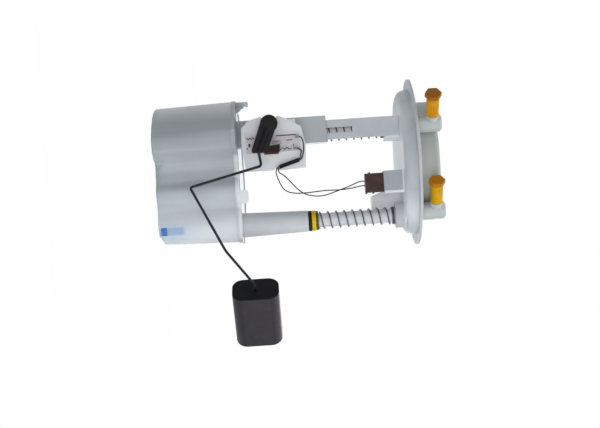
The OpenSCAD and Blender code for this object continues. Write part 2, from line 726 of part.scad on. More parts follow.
// Outline of the sender's face, as X and height over the pivot
cradle_outline = [[13.6, -21.9], [1.7, -21.3], [-3.9, -14.2], [-6, -6.3], [-2.4, -3.5], [-2.4, 3.5],
    [-6, 6.3], [-3.6, 12.9], [3, 23.5], [16.8, 26.5], [34.4, 25.5], [35.4, 5.3], [33.7, 2.6],
    [35.1, 1.3], [34.9, -19.8]];
card_low = [pivot_x + 8.6, pivot_z - 18.5];
card_high = [pivot_x + 21, pivot_z + 21.9];
rib_x = [pivot_x - 3, pivot_x + 15];
rib_t = 2.2;

module sender_cradle() color("gainsboro") difference() {
    back = rail_depth + 2.2;
    inner = cradle_depth - cradle_t + 0.5;
    union() {
        face_plate(round_pivot(cradle_outline), cradle_depth - cradle_t, cradle_depth);
        // Walls back to the return sleeve
        for (rise = [-17.5, -1, 17.5])
            block([rib_x[0], -inner, pivot_z + rise], [rib_x[1], -back, pivot_z + rise + rib_t]);
        block([rib_x[0], -inner, pivot_z - 17.5], [rib_x[0] + 2, -back, pivot_z + 19.5]);
        // Boss round the pivot pin and lips beside the card
        translate([pivot_x, -cradle_depth + cradle_t, pivot_z]) rotate([90, 0, 0])
            cylinder(h = holder_back - cradle_depth + cradle_t - 0.15, r = 4.2);
        for (x = [card_low[0] - 1.4, card_high[0] + 0.2])
            block([x, -track_face, card_low[1] - 1], [x + 1.2, -cradle_depth + 0.5, card_high[1] + 1]);
    }
    translate([pivot_x, 0, pivot_z]) rotate([90, 0, 0]) cylinder(h = 60, r = pin_r + seat_gap);
}

module resistor_card() color("silver")
    block([card_low[0], -card_face, card_low[1]], [card_high[0], -cradle_depth, card_high[1]]);

// Two curved tracks that the wiper's contacts run on
module resistor_tracks() color("dimgray") for (r = [15.2, 19.4])
    translate([pivot_x, -card_face, pivot_z]) rotate([90, 0, 0]) rotate([0, 0, -46])
        rotate_extrude(angle = 92) translate([r, 0]) square([1.3, track_t]);

// Clips that hold the two leads' ends on the card
module card_terminals() color("silver") for (clip = [signal_clip, ground_clip])
    block(on_arm(clip - [0.9, 0], strand_depth + 0.5), on_arm(clip + [0.9, clip_h], card_face));

module pivot_pin() color("silver") translate([pivot_x, -rail_depth - 4, pivot_z]) rotate([90, 0, 0])
    cylinder(h = holder_front - 1.6 - rail_depth - 4, r = pin_r);

module lead_sleeve() color("black") difference() {
    bar(sleeve_from, sleeve_to, lead_sleeve_r);
    bar(sleeve_from + 0.2 * (sleeve_from - sleeve_to), sleeve_to + 0.2 * (sleeve_to - sleeve_from),
        lead_sleeve_bore_r);
}

// One lead: clip, sleeve and free run to the plug, side says which half of the sleeve it takes
module lead(start, run, end_x, side) {
    across = lead_split * side * unit(cross(sleeve_to - sleeve_from, [0, 1, 0]));
    strand(through(concat([for (p = start) on_arm(p, strand_depth)],
        [sleeve_from + across, sleeve_to + across], hung(run),
        [[end_x, plug_y, plug_z + 0.5], [end_x, plug_y, plug_z + 4]]), 3),
        lead_r, 8, [0, 1, 0]);
}

module signal_lead() color("black") lead(signal_start, signal_run, plug_x - pin_pitch / 2, 1);

module ground_lead() color("black") lead(ground_start, ground_run, plug_x + pin_pitch / 2, -1);

// Path of the arm wire from the holder into the float
function wire_path() = rounded(concat([for (k = wire_knees) on_arm(k, wire_depth)],
    [float_at - 3 * float_dir, float_at + wire_depth_in_float * float_dir]), 2.4, 5);

// Side view of the holder, as X and height over the pivot
holder_outline = [[-1.4, -6.3], [19.4, -14.3], [21.4, -13.9], [21.7, 6.7], [16, 7.1], [16.6, -0.7],
    [6.5, 3.4], [-0.7, 6.4]];

module arm_holder() color("#1a1416") difference() {
    union() {
        translate([pivot_x, -holder_back, pivot_z]) rotate([90, 0, 0])
            cylinder(h = holder_front - holder_back, r = holder_r);
        face_plate(round_pivot(holder_outline), holder_back, wire_depth);
        bar(on_arm([3.5, -1.5], wire_depth), on_arm([20.8, -8.9], wire_depth), 2.2);
    }
    // Blind hole for the pivot pin and bore for the wire
    translate([pivot_x, -holder_back + 1, pivot_z]) rotate([90, 0, 0])
        cylinder(h = holder_front - holder_back, r = pin_r + pin_gap);
    bar(on_arm(wire_knees[0], wire_depth), on_arm(wire_knees[1], wire_depth), wire_r + seat_gap);
    bar(on_arm([18.6, -8.3], wire_depth), on_arm([29, -7.95], wire_depth), wire_r + 0.4);
}

module wiper_carrier() color("#5a1c22")
    block(on_arm([15, -5.1], carrier_back + 1), on_arm([23, 5.9], carrier_back));

// Two spring fingers that run on the tracks
module wiper_contacts() color("silver") for (r = [15.2, 19.4])
    block(on_arm([r + 0.15, -4.1], carrier_back), on_arm([r + 1.15, 1.9], track_face + 0.03));

module float_wire() color("#3a3d40") strand(wire_path(), wire_r, 12, [0, 1, 0]);

module float() color("#26242a") difference() {
    long = float_w / 2 - float_edge_r;
    short = float_d / 2 - float_edge_r;
    translate(float_at) rotate([0, 0, float_lean]) rotate([0, 90, 0]) linear_extrude(float_len) union() {
        square([float_w, 2 * short], center = true);
        square([2 * long, float_d], center = true);
        for (x = [-long, long], y = [-short, short])
            translate([x, y]) circle(r = float_edge_r);
    }
    bar(float_at - float_dir, float_at + (wire_depth_in_float + 0.2) * float_dir, wire_r + seat_gap);
}

flange_plate();
flange_cover();
supply_spigot();
return_spigot();
supply_cap();
return_cap();
outer_socket();
flange_terminals();
supply_guide_tube();
return_guide_tube();
guide_rail();
supply_spring();
return_spring();
harness_plug();
plug_terminals();
reservoir_pot();
reservoir_lid();
supply_sleeve();
return_sleeve();
guide_seal();
seal_collar();
spring_washer();
suction_pipe();
suction_strainer();
return_pipe();
jet_pump();
inlet_valve_flap();
sender_cradle();
resistor_card();
resistor_tracks();
card_terminals();
pivot_pin();
lead_sleeve();
signal_lead();
ground_lead();
arm_holder();
wiper_carrier();
wiper_contacts();
float_wire();
float();
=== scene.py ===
"""Looks of a fuel tank sending unit: a sprung reservoir that slides below a round tank flange.

Sizes in the classes are millimetres in the part's own frame: +Z runs up through the flange as
installed, the reservoir stands on Z = 0, and the float arm swings on the -Y side. Depth means the
distance from the flange's axis towards that side, so depth = -Y. Colours are written as 0-255
values, as the eye sees them, and are made linear where they reach a shader.
"""

from __future__ import annotations

import logging
import math
from dataclasses import dataclass
from enum import Enum
from typing import Sequence

import bmesh
import bpy
import numpy as np
from mathutils import Matrix

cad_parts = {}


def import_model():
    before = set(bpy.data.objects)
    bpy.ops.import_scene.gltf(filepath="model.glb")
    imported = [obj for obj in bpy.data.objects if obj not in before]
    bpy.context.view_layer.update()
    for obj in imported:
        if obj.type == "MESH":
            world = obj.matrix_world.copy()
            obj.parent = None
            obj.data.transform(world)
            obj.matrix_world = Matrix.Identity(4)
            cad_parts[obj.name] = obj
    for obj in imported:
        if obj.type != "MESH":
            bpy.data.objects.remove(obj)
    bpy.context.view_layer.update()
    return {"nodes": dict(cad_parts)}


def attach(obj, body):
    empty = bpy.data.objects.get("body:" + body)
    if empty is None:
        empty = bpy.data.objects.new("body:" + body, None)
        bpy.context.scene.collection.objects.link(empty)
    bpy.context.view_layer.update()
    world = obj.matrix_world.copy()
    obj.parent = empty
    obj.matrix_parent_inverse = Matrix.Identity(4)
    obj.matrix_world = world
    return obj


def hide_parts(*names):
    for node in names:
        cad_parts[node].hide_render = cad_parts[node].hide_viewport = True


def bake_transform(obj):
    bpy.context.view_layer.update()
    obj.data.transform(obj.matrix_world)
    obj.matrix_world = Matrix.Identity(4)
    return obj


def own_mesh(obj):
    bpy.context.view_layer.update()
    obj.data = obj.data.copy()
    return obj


Pair = tuple[float, float]
Triple = tuple[float, float, float]
Colour = tuple[int, int, int]

LOG = logging.getLogger("sending_unit")
MM = 0.001
MICRON = 1e-6
TURN = 2 * math.pi
QUARTER = math.pi / 2

# Noise of a finish: detail of its clouds and of its gloss, and the gloss's cells in clouds.
CLOUD_DETAIL = 3.0
GLOSS_DETAIL = 4.0
GLOSS_CELLS = 0.4

# Angles in degrees: edges that stay crisp on a skin and on a moulding, and edges that are rounded.
SKIN_CREASE = 40.0
MOULD_CREASE = 48.0
MOULD_EDGE = 32.0

# Corners round a thin wire and round a thicker bar.
WIRE_SIDES = 10
BAR_SIDES = 20

# The supply guide's axis in plan, and the middle of the float's end at the wire and its heading.
SUPPLY_AT: Pair = (41.0, -20.0)
FLOAT_AT: Triple = (89.0, -48.0, 71.2)
FLOAT_LEAN = 35.0


class Body(Enum):
    """The bodies that pieces ride on."""

    FLANGE = "flange"
    RESERVOIR = "reservoir"
    ARM = "float_arm"
    SUPPLY_CAP = "cap_supply"
    RETURN_CAP = "cap_return"


class Grain(Enum):
    """Fine relief of a surface: size of its cells in millimetres and height in micrometres."""

    MOULDED = (1.1, 14.0)
    SMOOTH = (4.0, 8.0)
    DRAWN = (0.35, 10.0)
    FOAM = (0.45, 60.0)
    WOVEN = (0.5, 90.0)


def linear(colour: Colour) -> tuple[float, ...]:
    """Linear colour of a display colour, by the sRGB curve.

    Args:
        colour: Red, green and blue from 0 to 255.

    Returns:
        The linear red, green and blue, and full opacity.
    """
    share = np.asarray(colour, float) / 255.0
    out = np.where(share <= 0.04045, share / 12.92, ((share + 0.055) / 1.055) ** 2.4)
    return (*out.tolist(), 1.0)


def plug(tree: bpy.types.NodeTree, slot: bpy.types.NodeSocket, value: object) -> None:
    """Feeds an input socket.

    Args:
        tree: The socket's node tree.
        slot: The input socket.
        value: A Number or an output socket to link, or a plain value to set.
    """
    if isinstance(value, Number):
        value = value.socket
    if isinstance(value, bpy.types.NodeSocket):
        tree.links.new(value, slot)
    else:
        slot.default_value = value


class Number:
    """A number that varies over a surface. Arithmetic on it adds Math nodes to its material."""

    def __init__(self, tree: bpy.types.NodeTree, socket: bpy.types.NodeSocket) -> None:
        """Wraps an output socket of a node tree."""
        self.tree = tree
        self.socket = socket

    def of(self, operation: str, other: object = None, flipped: bool = False) -> Number:
        """Adds a Math node of any operation, such as SINE, ABSOLUTE or MINIMUM.

        Args:
            operation: The Math node's operation.
            other: A Number or a plain number, or None for an operation with one input.
            flipped: Whether the other one stands first.

        Returns:
            The node's result.
        """
        node = self.tree.nodes.new("ShaderNodeMath")
        node.operation = operation
        for slot, value in zip(node.inputs, (other, self) if flipped else (self, other)):
            if value is not None:
                plug(self.tree, slot, value)
        return Number(self.tree, node.outputs[0])

    def __add__(self, other: object) -> Number:
        """Sum."""
        return self.of("ADD", other)

    def __sub__(self, other: object) -> Number:
        """Difference."""
        return self.of("SUBTRACT", other)

    def __rsub__(self, other: object) -> Number:
        """Difference with a plain number on the left."""
        return self.of("SUBTRACT", other, flipped=True)

    def __mul__(self, other: object) -> Number:
        """Product."""
        return self.of("MULTIPLY", other)

    def __truediv__(self, other: object) -> Number:
        """Quotient."""
        return self.of("DIVIDE", other)

    def __gt__(self, other: object) -> Number:
        """1 where this is the larger, else 0."""
        return self.of("GREATER_THAN", other)

    def __lt__(self, other: object) -> Number:
        """1 where this is the smaller, else 0."""
        return self.of("LESS_THAN", other)

    __radd__ = __add__
    __rmul__ = __mul__

    def ramp(self, low: float, high: float) -> Number:
        """0 below low, 1 above high and a straight slope between, clamped."""
        risen = (self - low) / (high - low)
        return risen.of("MAXIMUM", 0.0).of("MINIMUM", 1.0)

    def band(self, low: float, high: float, soft: float) -> Number:
        """1 between low and high, falling to 0 within soft on both sides."""
        return self.ramp(low - soft, low) * (1.0 - self.ramp(high, high + soft))


class Nodes:
    """A node tree and the calls that fill it."""

    def __init__(self, tree: bpy.types.NodeTree) -> None:
        """Takes a node tree over and empties it."""
        self.tree = tree
        tree.nodes.clear()

    def node(
        self, kind: str, settings: dict[str, object], sockets: dict[str | int, object]
    ) -> bpy.types.Node:
        """Adds any node.

        Args:
            kind: The node's type.
            settings: Properties to set before the sockets.
            sockets: Names or numbers of inputs, each with what plug() takes.

        Returns:
            The new node.
        """
        node = self.tree.nodes.new(kind)
        for key, value in settings.items():
            setattr(node, key, value)
        for key, value in sockets.items():
            plug(self.tree, node.inputs[key], value)
        return node

    def whiten(
        self, kind: str, plain: bpy.types.Node, output: bpy.types.Node, share: float
    ) -> None:
        """Shows white to rays from the camera, from gloss and through clear things.

        Args:
            kind: The type of the white node.
            plain: The node that lights and shades the rest.
            output: The tree's output node.
            share: How much of what is seen is white.
        """
        path = self.node("ShaderNodeLightPath", {}, {})
        camera, gloss, through = (
            Number(self.tree, path.outputs[f"Is {ray} Ray"])
            for ray in ("Camera", "Glossy", "Transmission")
        )
        seen = (camera + gloss + through).of("MINIMUM", 1.0) * share
        white = self.node(kind, {}, {"Color": (1, 1, 1, 1), "Strength": 1.0})
        sources = {0: seen, 1: plain.outputs[0], 2: white.outputs[0]}
        mix = self.node("ShaderNodeMixShader", {}, sources)
        plug(self.tree, output.inputs["Surface"], mix.outputs[0])


class Shader(Nodes):
    """One material's node tree, with a Principled surface."""

    def __init__(self, name: str) -> None:
        """Starts a material with that name."""
        self.material = bpy.data.materials.new(name)
        self.material.use_nodes = True
        super().__init__(self.material.node_tree)
        self.surface = self.node("ShaderNodeBsdfPrincipled", {}, {})
        result = {"Surface": self.surface.outputs[0]}
        self.output = self.node("ShaderNodeOutputMaterial", {}, result)
        coordinates = self.node("ShaderNodeTexCoord", {}, {}).outputs
        self.place = coordinates["Object"]
        self.uv = coordinates["UV"]

    def split(self, vector: bpy.types.NodeSocket) -> list[Number]:
        """The three numbers of a vector."""
        parts = self.node("ShaderNodeSeparateXYZ", {}, {"Vector": vector})
        return [Number(self.tree, part) for part in parts.outputs]

    def axes(self) -> list[Number]:
        """Object coordinates X, Y and Z in millimetres."""
        return [axis / MM for axis in self.split(self.place)]

    def reach(self, at: Sequence[float], heading: float) -> Number:
        """How far a point lies from a place in plan.

        Args:
            at: The place, of which X and Y count.
            heading: Direction of the distance, in degrees from +X towards +Y.

        Returns:
            The distance in millimetres.
        """
        x, y, _ = self.axes()
        way = math.radians(heading)
        return (x - at[0]) * math.cos(way) + (y - at[1]) * math.sin(way)

    def noise(self, size: float, detail: float) -> Number:
        """Cloudy noise from about 0 to 1 with cells of that many millimetres."""
        sockets = {"Vector": self.place, "Scale": 1 / (size * MM), "Detail": detail}
        return Number(self.tree, self.node("ShaderNodeTexNoise", {}, sockets).outputs["Fac"])

    def mix(self, share: Number, low: object, high: object) -> bpy.types.NodeSocket:
        """Goes from one colour to another.

        Args:
            share: 0 for the first colour and 1 for the second.
            low: The first, as an output socket or a display colour.
            high: The second, likewise.

        Returns:
            The mixed colour.
        """
        node = self.node("ShaderNodeMix", {"data_type": "RGBA"}, {})
        inputs = [s for s in node.inputs if s.enabled]
        for slot, value in zip(inputs, (share, low, high)):
            plug(self.tree, slot, linear(value) if isinstance(value, tuple) else value)
        return [s for s in node.outputs if s.enabled][0]

    def lay(
        self, tone: bpy.types.NodeSocket, layers: Sequence[tuple[Number, Colour]]
    ) -> bpy.types.NodeSocket:
        """Lays colours over a tone in turn.

        Args:
            tone: The colour below.
            layers: The share of each colour, and the colour.

        Returns:
            The colour on top.
        """
        for share, colour in layers:
            tone = self.mix(share, tone, colour)
        return tone

    def feed(self, sockets: dict[str, object]) -> None:
        """Sets or links inputs of the Principled surface."""
        for name, value in sockets.items():
            plug(self.tree, self.surface.inputs[name], value)


@dataclass(frozen=True)
class Finish:
    """A finish: two close colours that mottle, gloss that wanders and a fine grain."""

    name: str
    slot: str
    colour: Colour
    mottle: Colour
    cloud: float = 18.0
    rough: float = 0.45
    wander: float = 0.08
    metal: float = 0.0
    coat: float = 0.0
    glow: float = 0.0
    glow_depth: float = 0.0
    specular: float = 0.28
    grain: Grain = Grain.MOULDED

    def paint(self, shader: Shader) -> bpy.types.NodeSocket:
        """Base colour: the two colours mixed by soft clouds."""
        clouds = shader.noise(self.cloud, CLOUD_DETAIL).ramp(0.35, 0.65)
        return shader.mix(clouds, self.colour, self.mottle)

    def height(self, shader: Shader) -> Number:
        """Relief before its depth is applied: noise at the grain's size."""
        return shader.noise(self.grain.value[0], CLOUD_DETAIL)

    def make(self) -> bpy.types.Material:
        """Makes the material, once for each finish.

        Returns:
            The material.
        """
        known = bpy.data.materials.get(self.name)
        if known is not None:
            return known
        shader = Shader(self.name)
        gloss = shader.noise(self.cloud * GLOSS_CELLS, GLOSS_DETAIL)
        depth = self.grain.value[1] * MICRON
        relief = {"Height": self.height(shader), "Strength": 1.0, "Distance": depth}
        shader.feed({
            "Base Color": self.paint(shader),
            "Roughness": gloss * (2 * self.wander) + (self.rough - self.wander),
            "Metallic": self.metal,
            "Coat Weight": self.coat,
            "Specular IOR Level": self.specular,
            "Normal": shader.node("ShaderNodeBump", {}, relief).outputs["Normal"],
        })
        if self.glow > 0:
            shader.feed({
                "Subsurface Weight": self.glow,
                "Subsurface Radius": (1.0, 1.0, 1.0),
                "Subsurface Scale": self.glow_depth * MM,
            })
        return shader.material

    def cover(self, made: bpy.types.Object) -> None:
        """Makes this a piece's only finish."""
        made.data.materials.clear()
        made.data.materials.append(self.make())


@dataclass(frozen=True)
class LightShadePatch:
    """A box of the shared frame that lays painted light or painted shade on a surface, with soft
    borders.

    Its tone falls away beyond each side over the distance that soft gives for that axis.
    """

    low: Triple
    high: Triple
    colour: Colour
    soft: Triple = (0.4, 0.4, 0.4)

    def share(self, shader: Shader) -> Number:
        """1 inside the box, falling to 0 within soft outside it."""
        x, y, z = map(Number.band, shader.axes(), self.low, self.high, self.soft)
        return x * y * z


@dataclass(frozen=True)
class MilkyFinish(Finish):
    """Milky plastic that light soaks into, with boxes of painted light and painted shade laid over
    it.
    """

    rough: float = 0.42
    glow: float = 0.25
    glow_depth: float = 2.5
    patches: tuple[LightShadePatch, ...] = ()

    def paint(self, shader: Shader) -> bpy.types.NodeSocket:
        """Base colour, with each patch of painted light or painted shade laid over it in turn."""
        layers = [(patch.share(shader), patch.colour) for patch in self.patches]
        return shader.lay(super().paint(shader), layers)


def milky(name: str, colour: Colour, **more: object) -> MilkyFinish:
    """A finish of the housing's plastic, mottled with a slightly darker tone.

    Args:
        name: The last part of its name.
        colour: Its colour.
        more: Any other values of the finish.

    Returns:
        The finish.
    """
    red, green, blue = colour
    mottle = (red - 7, green - 6, blue - 6)
    return MilkyFinish(f"milky_{name}", "housing_plastic", colour, mottle, **more)


@dataclass(frozen=True)
class PotFinish(MilkyFinish):
    """Milky plastic with a green cast at the foot and the blue insert showing through the wall.

    It has painted shade over the upper lobe, the facet and the run beside it, and painted light
    lower down.
    """

    # deep is painted shade and pale is painted light; foot is a green cast, and haze and blue show
    # the insert through the wall.
    deep: Colour = (128, 134, 138)
    foot: Colour = (166, 184, 172)
    pale: Colour = (240, 246, 252)
    haze: Colour = (186, 204, 226)
    blue: Colour = (150, 174, 212)

    def paint(self, shader: Shader) -> bpy.types.NodeSocket:
        """Lays the five tones over the base colour in turn: painted shade, the green cast, painted
        light, the haze and the blue insert.

        Args:
            shader: The material's shader.

        Returns:
            The colour.
        """
        x, y, z = shader.axes()
        # Painted shade over the upper lobe, the facet and the run beside it.
        lobe = x.ramp(-52.0, -40.0) * (1.0 - x.ramp(-28.0, 4.0)) * (y < -20.0)
        facet = x.band(-1.0, 9.0, 4.0) * (y < -26.0)
        beside = (1.0 - x.ramp(8.0, 44.0)) * x.ramp(-8.0, 6.0)
        dim = lobe * 0.62 + facet * 0.25 + beside * 0.24
        cast = (1.0 - z.ramp(0.5, 7.0)) * (1.0 - x.ramp(0.0, 40.0))
        near = (y < -16.0) * z.ramp(0.5, 1.0)
        hazed = x.band(37.5, 49.0, 2.5) * (1.0 - z.ramp(14.0, 40.0)) * near
        insert = x.band(39.6, 44.6, 0.8) * (1.0 - z.ramp(18.0, 21.0)) * near
        return shader.lay(super().paint(shader), [
            (dim.of("MINIMUM", 1.0), self.deep),
            (cast * 0.4, self.foot),
            # Painted light lower down.
            (x.ramp(22.0, 44.0) * 0.6, self.pale),
            (hazed * 0.6, self.haze),
            (insert * 0.7, self.blue),
        ])


@dataclass(frozen=True)
class CapFinish(Finish):
    """Yellow plastic whose solid head is deeper than the thin shaft, measured along the spigot;
    part of its depth is painted shade.
    """

    cloud: float = 7.0
    rough: float = 0.38
    glow: float = 0.1
    glow_depth: float = 1.0
    specular: float = 0.12
    hub: Pair = (0.0, 0.0)
    turn: float = 0.0
    head_start: Pair = (25.55, 25.85)
    # head is partly painted shade, where the head faces away from the light.
    head: Colour = (150, 98, 8)

    def paint(self, shader: Shader) -> bpy.types.NodeSocket:
        """Base colour of the shaft, and beyond its start the head's, which is partly painted shade.
        """
        share = shader.reach(self.hub, 180 + self.turn).ramp(*self.head_start)
        return shader.mix(share, super().paint(shader), self.head)


@dataclass(frozen=True)
class FloatFinish(Finish):
    """Black foam, with painted shade that makes its flat end on the arm's side nearly black and a
    painted sheen up the flange's side.
    """

    # end is painted shade on the flat end; side is a painted sheen up the flange's side.
    end: Colour = (5, 4, 7)
    end_shade_depth: Pair = (0.1, 0.9)
    side: Colour = (70, 67, 74)
    sheen_rise: Pair = (83.0, 87.5)

    def paint(self, shader: Shader) -> bpy.types.NodeSocket:
        """Base colour with a painted sheen up the flange's side, and the flat end's painted shade
        from its distance.

        Args:
            shader: The material's shader.

        Returns:
            The colour.
        """
        edge = shader.axes()[2].ramp(*self.sheen_rise)
        body = shader.mix(edge, super().paint(shader), self.side)
        return shader.mix(shader.reach(FLOAT_AT, FLOAT_LEAN).ramp(*self.end_shade_depth), self.end, body)


@dataclass(frozen=True)
class BraidFinish(Finish):
    """Braided sleeve: two sets of strands that cross at an angle, from the tube's own UV map."""

    turns: float = 5.0
    rows: float = 16.0

    def height(self, shader: Shader) -> Number:
        """Product of two slanted waves, high in the middle of each strand.

        Args:
            shader: The material's shader.

        Returns:
            The height from 0 to 1.
        """
        around, along, _ = shader.split(shader.uv)
        across = around * (TURN * self.turns)
        down = along * (TURN * self.rows)
        return (down + across).of("SINE") * (down - across).of("SINE") * 0.5 + 0.5

    def paint(self, shader: Shader) -> bpy.types.NodeSocket:
        """Painted shade between the strands: darker where the height is low."""
        return shader.mix(self.height(shader), self.mottle, self.colour)


@dataclass(frozen=True)
class CardFinish(Finish):
    """Ceramic card with printed marks: dark lines, curls and blocks, and two grey bars.

    A box gives the low end, the high end and the soft border of a mark, in X and then in Z. A
    curl is a line that swings about a place in X as it runs along Z. It gives that place, its
    swing, its pace and its thickness, and its low and high end in Z.
    """

    ink: Colour = (16, 13, 15)
    grey: Colour = (112, 109, 112)
    blocks: tuple[tuple[Triple, Triple], ...] = (
        ((-25.1, -24.4, 0.1), (94.0, 109.0, 0.1)),
        ((-21.3, -20.7, 0.15), (101.5, 106.0, 0.2)),
        ((-17.8, -16.0, 0.1), (106.5, 107.0, 0.1)),
        ((-20.0, -17.4, 0.1), (72.9, 74.5, 0.1)),
        ((-16.8, -15.7, 0.1), (71.4, 72.2, 0.1)),
    )
    bars: tuple[tuple[Triple, Triple], ...] = (
        ((-21.0, -20.2, 0.15), (91.0, 98.0, 0.2)),
        ((-19.5, -18.8, 0.15), (91.0, 98.0, 0.2)),
    )
    dashes: tuple[tuple[Triple, Triple], ...] = (((-14.6, -13.9, 0.1), (103.0, 110.0, 0.2)),)
    curls: tuple[tuple[float, ...], ...] = (
        (-23.6, 0.5, 2.6, 1.0, 71.6, 77.5), (-14.9, 0.6, 1.9, 1.1, 95.5, 103.5),
    )

    def paint(self, shader: Shader) -> bpy.types.NodeSocket:
        """Bare card, two grey bars beside the wiper and dark ink where the marks are.

        Args:
            shader: The material's shader.

        Returns:
            The colour.
        """
        x, _, z = shader.axes()
        blocks, bars, dashes = (
            sum(x.band(*across) * z.band(*up) for across, up in boxes)
            for boxes in (self.blocks, self.bars, self.dashes)
        )
        marks = blocks + dashes * (z * 2.0).of("SINE").ramp(-0.1, 0.1)
        for middle, swing, pace, thick, low, high in self.curls:
            off = (x - middle - (z * pace).of("SINE") * swing).of("ABSOLUTE")
            marks += (off < thick / 2) * z.band(low, high, 0.1)
        layers = [(bars * 0.8, self.grey), (marks.of("MINIMUM", 1.0) * 0.92, self.ink)]
        return shader.lay(super().paint(shader), layers)


@dataclass(frozen=True)
class MeshFinish(Finish):
    """Woven strainer: fine threads that cross square to each other."""

    pitch: float = 0.8

    def height(self, shader: Shader) -> Number:
        """Product of two waves at the threads' pitch."""
        x, y, _ = (axis * (TURN / self.pitch) for axis in shader.axes())
        return x.of("SINE") * y.of("SINE") * 0.5 + 0.5


class Finishes:
    """Every finish of the unit, by what it is made of."""

    housing = milky("housing", (200, 205, 210))
    # Over the plate: painted light on the drum's underside, the boss kept at a deeper tone out of
    # that light, painted light on the block behind the supply spring, and painted shade on the
    # socket.
    plate = milky("plate", (188, 193, 198), patches=(
        LightShadePatch((-22, -38, 160), (34, 90, 198.4), (226, 231, 235), (24.0, 14.0, 0.3)),
        LightShadePatch((29, -34, 160), (53, -6, 187.8), (190, 195, 200)),
        LightShadePatch((21.9, -5.9, 160), (44.5, 11, 187.8), (250, 250, 252)),
        LightShadePatch((2, -80, 160), (21.5, -8, 187.8), (170, 174, 180)),
    ))
    # Over the lid: painted shade along its upper rim and painted light on its lower front.
    lid = milky("lid", (204, 209, 214), patches=(
        LightShadePatch((-80, -80, 58), (-14, -14, 67), (170, 175, 179), (4.0, 4.0, 4.0)),
        LightShadePatch((-11, -80, 62.5), (50, -20, 80), (228, 232, 236), (3.0, 3.0, 3.0)),
    ))
    # The two darker copies of the housing's plastic below are painted shade, and the paler third
    # one is painted light.
    sleeve = milky("sleeve", (182, 187, 191), glow=0.2, glow_depth=2.0)
    rail = milky("rail", (195, 200, 205), glow=0.2, glow_depth=2.0)
    cradle = milky("cradle", (219, 222, 226), glow=0.2, glow_depth=2.0)
    pot = PotFinish(
        "milky_pot", "housing_plastic", (208, 214, 220), (200, 207, 213),
        cloud=30.0, rough=0.4, glow=0.3, glow_depth=4.0,
    )
    cover = MilkyFinish(
        "milky_cover", "cover_plastic", (178, 182, 179), (171, 176, 172), rough=0.46
    )
    spigot = MilkyFinish(
        "white_spigot", "spigot_plastic", (187, 192, 192), (180, 186, 186), rough=0.45
    )
    # A paler copy of the tube's plastic: painted light inside the slot, where shade falls.
    lit_slotted_tube = Finish(
        "lit_pale_tube", "tube_plastic", (243, 245, 247), (238, 241, 243),
        rough=0.3, wander=0.05, glow=0.15, glow_depth=1.5, grain=Grain.SMOOTH,
    )
    tube = Finish(
        "drawn_tube", "tube_plastic", (212, 214, 219), (205, 208, 213),
        rough=0.22, wander=0.05, coat=0.15, glow=0.15, glow_depth=1.5, grain=Grain.SMOOTH,
    )
    # The heads' colours below are partly painted shade.
    supply_cap = CapFinish(
        "yellow_supply_cap", "cap_yellow", (212, 164, 12), (198, 145, 6),
        hub=(38.84, -36.35), turn=40.0, head=(182, 116, 2),
    )
    return_cap = CapFinish(
        "yellow_return_cap", "cap_yellow", (206, 150, 14), (192, 132, 8),
        hub=(-26.36, -46.21), turn=45.0, head=(152, 94, 2),
    )
    collar = Finish(
        "yellow_collar", "collar_yellow", (226, 190, 24), (214, 174, 16),
        cloud=4.0, rough=0.4, specular=0.15,
    )
    seal = Finish(
        "black_seal", "seal_black", (30, 32, 29), (20, 22, 20),
        cloud=3.0, rough=0.55, specular=0.12,
    )
    washer = Finish(
        "olive_washer", "washer_olive", (84, 86, 46), (66, 70, 38),
        cloud=3.0, rough=0.5, specular=0.15,
    )
    plug = Finish(
        "brown_plug", "plug_brown", (72, 50, 49), (58, 39, 39),
        cloud=5.0, rough=0.4, specular=0.15,
    )
    blue = Finish(
        "blue_insert", "valve_blue", (74, 132, 210), (60, 116, 200), cloud=3.0, rough=0.35
    )
    holder = Finish(
        "black_holder", "holder_black", (13, 9, 12), (8, 6, 9),
        cloud=6.0, rough=0.3, wander=0.06, specular=0.12, grain=Grain.SMOOTH,
    )
    carrier = Finish(
        "red_carrier", "carrier_red", (104, 30, 42), (82, 22, 33),
        cloud=4.0, rough=0.32, specular=0.15,
    )
    spring = Finish(
        "spring_wire", "spring_steel", (104, 106, 118), (76, 78, 90),
        cloud=2.5, rough=0.36, metal=0.85, grain=Grain.DRAWN,
    )
    arm = Finish(
        "plated_wire", "arm_steel", (36, 41, 45), (26, 30, 34),
        cloud=6.0, rough=0.42, metal=0.3, specular=0.2, grain=Grain.DRAWN,
    )
    brass = Finish(
        "tinned_contact", "contact_metal", (178, 176, 172), (160, 158, 155),
        cloud=1.5, rough=0.4, metal=0.6, grain=Grain.DRAWN,
    )
    clip = Finish(
        "dull_clip", "contact_metal", (128, 126, 125), (116, 114, 113),
        cloud=1.5, rough=0.5, metal=0.3, grain=Grain.DRAWN,
    )
    pin = Finish(
        "ground_pin", "pin_steel", (168, 168, 170), (150, 150, 153),
        cloud=2.0, rough=0.25, metal=1.0, grain=Grain.DRAWN,
    )
    card = CardFinish(
        "printed_card", "card_ceramic", (200, 197, 200), (188, 185, 189),
        cloud=3.0, rough=0.5, grain=Grain.SMOOTH,
    )
    ink = Finish(
        "resistor_ink", "track_ink", (190, 187, 190), (180, 177, 180), cloud=1.2, rough=0.45
    )
    lead = Finish(
        "lead_cover", "lead_black", (26, 26, 32), (17, 17, 22),
        cloud=4.0, rough=0.42, specular=0.15, grain=Grain.SMOOTH,
    )
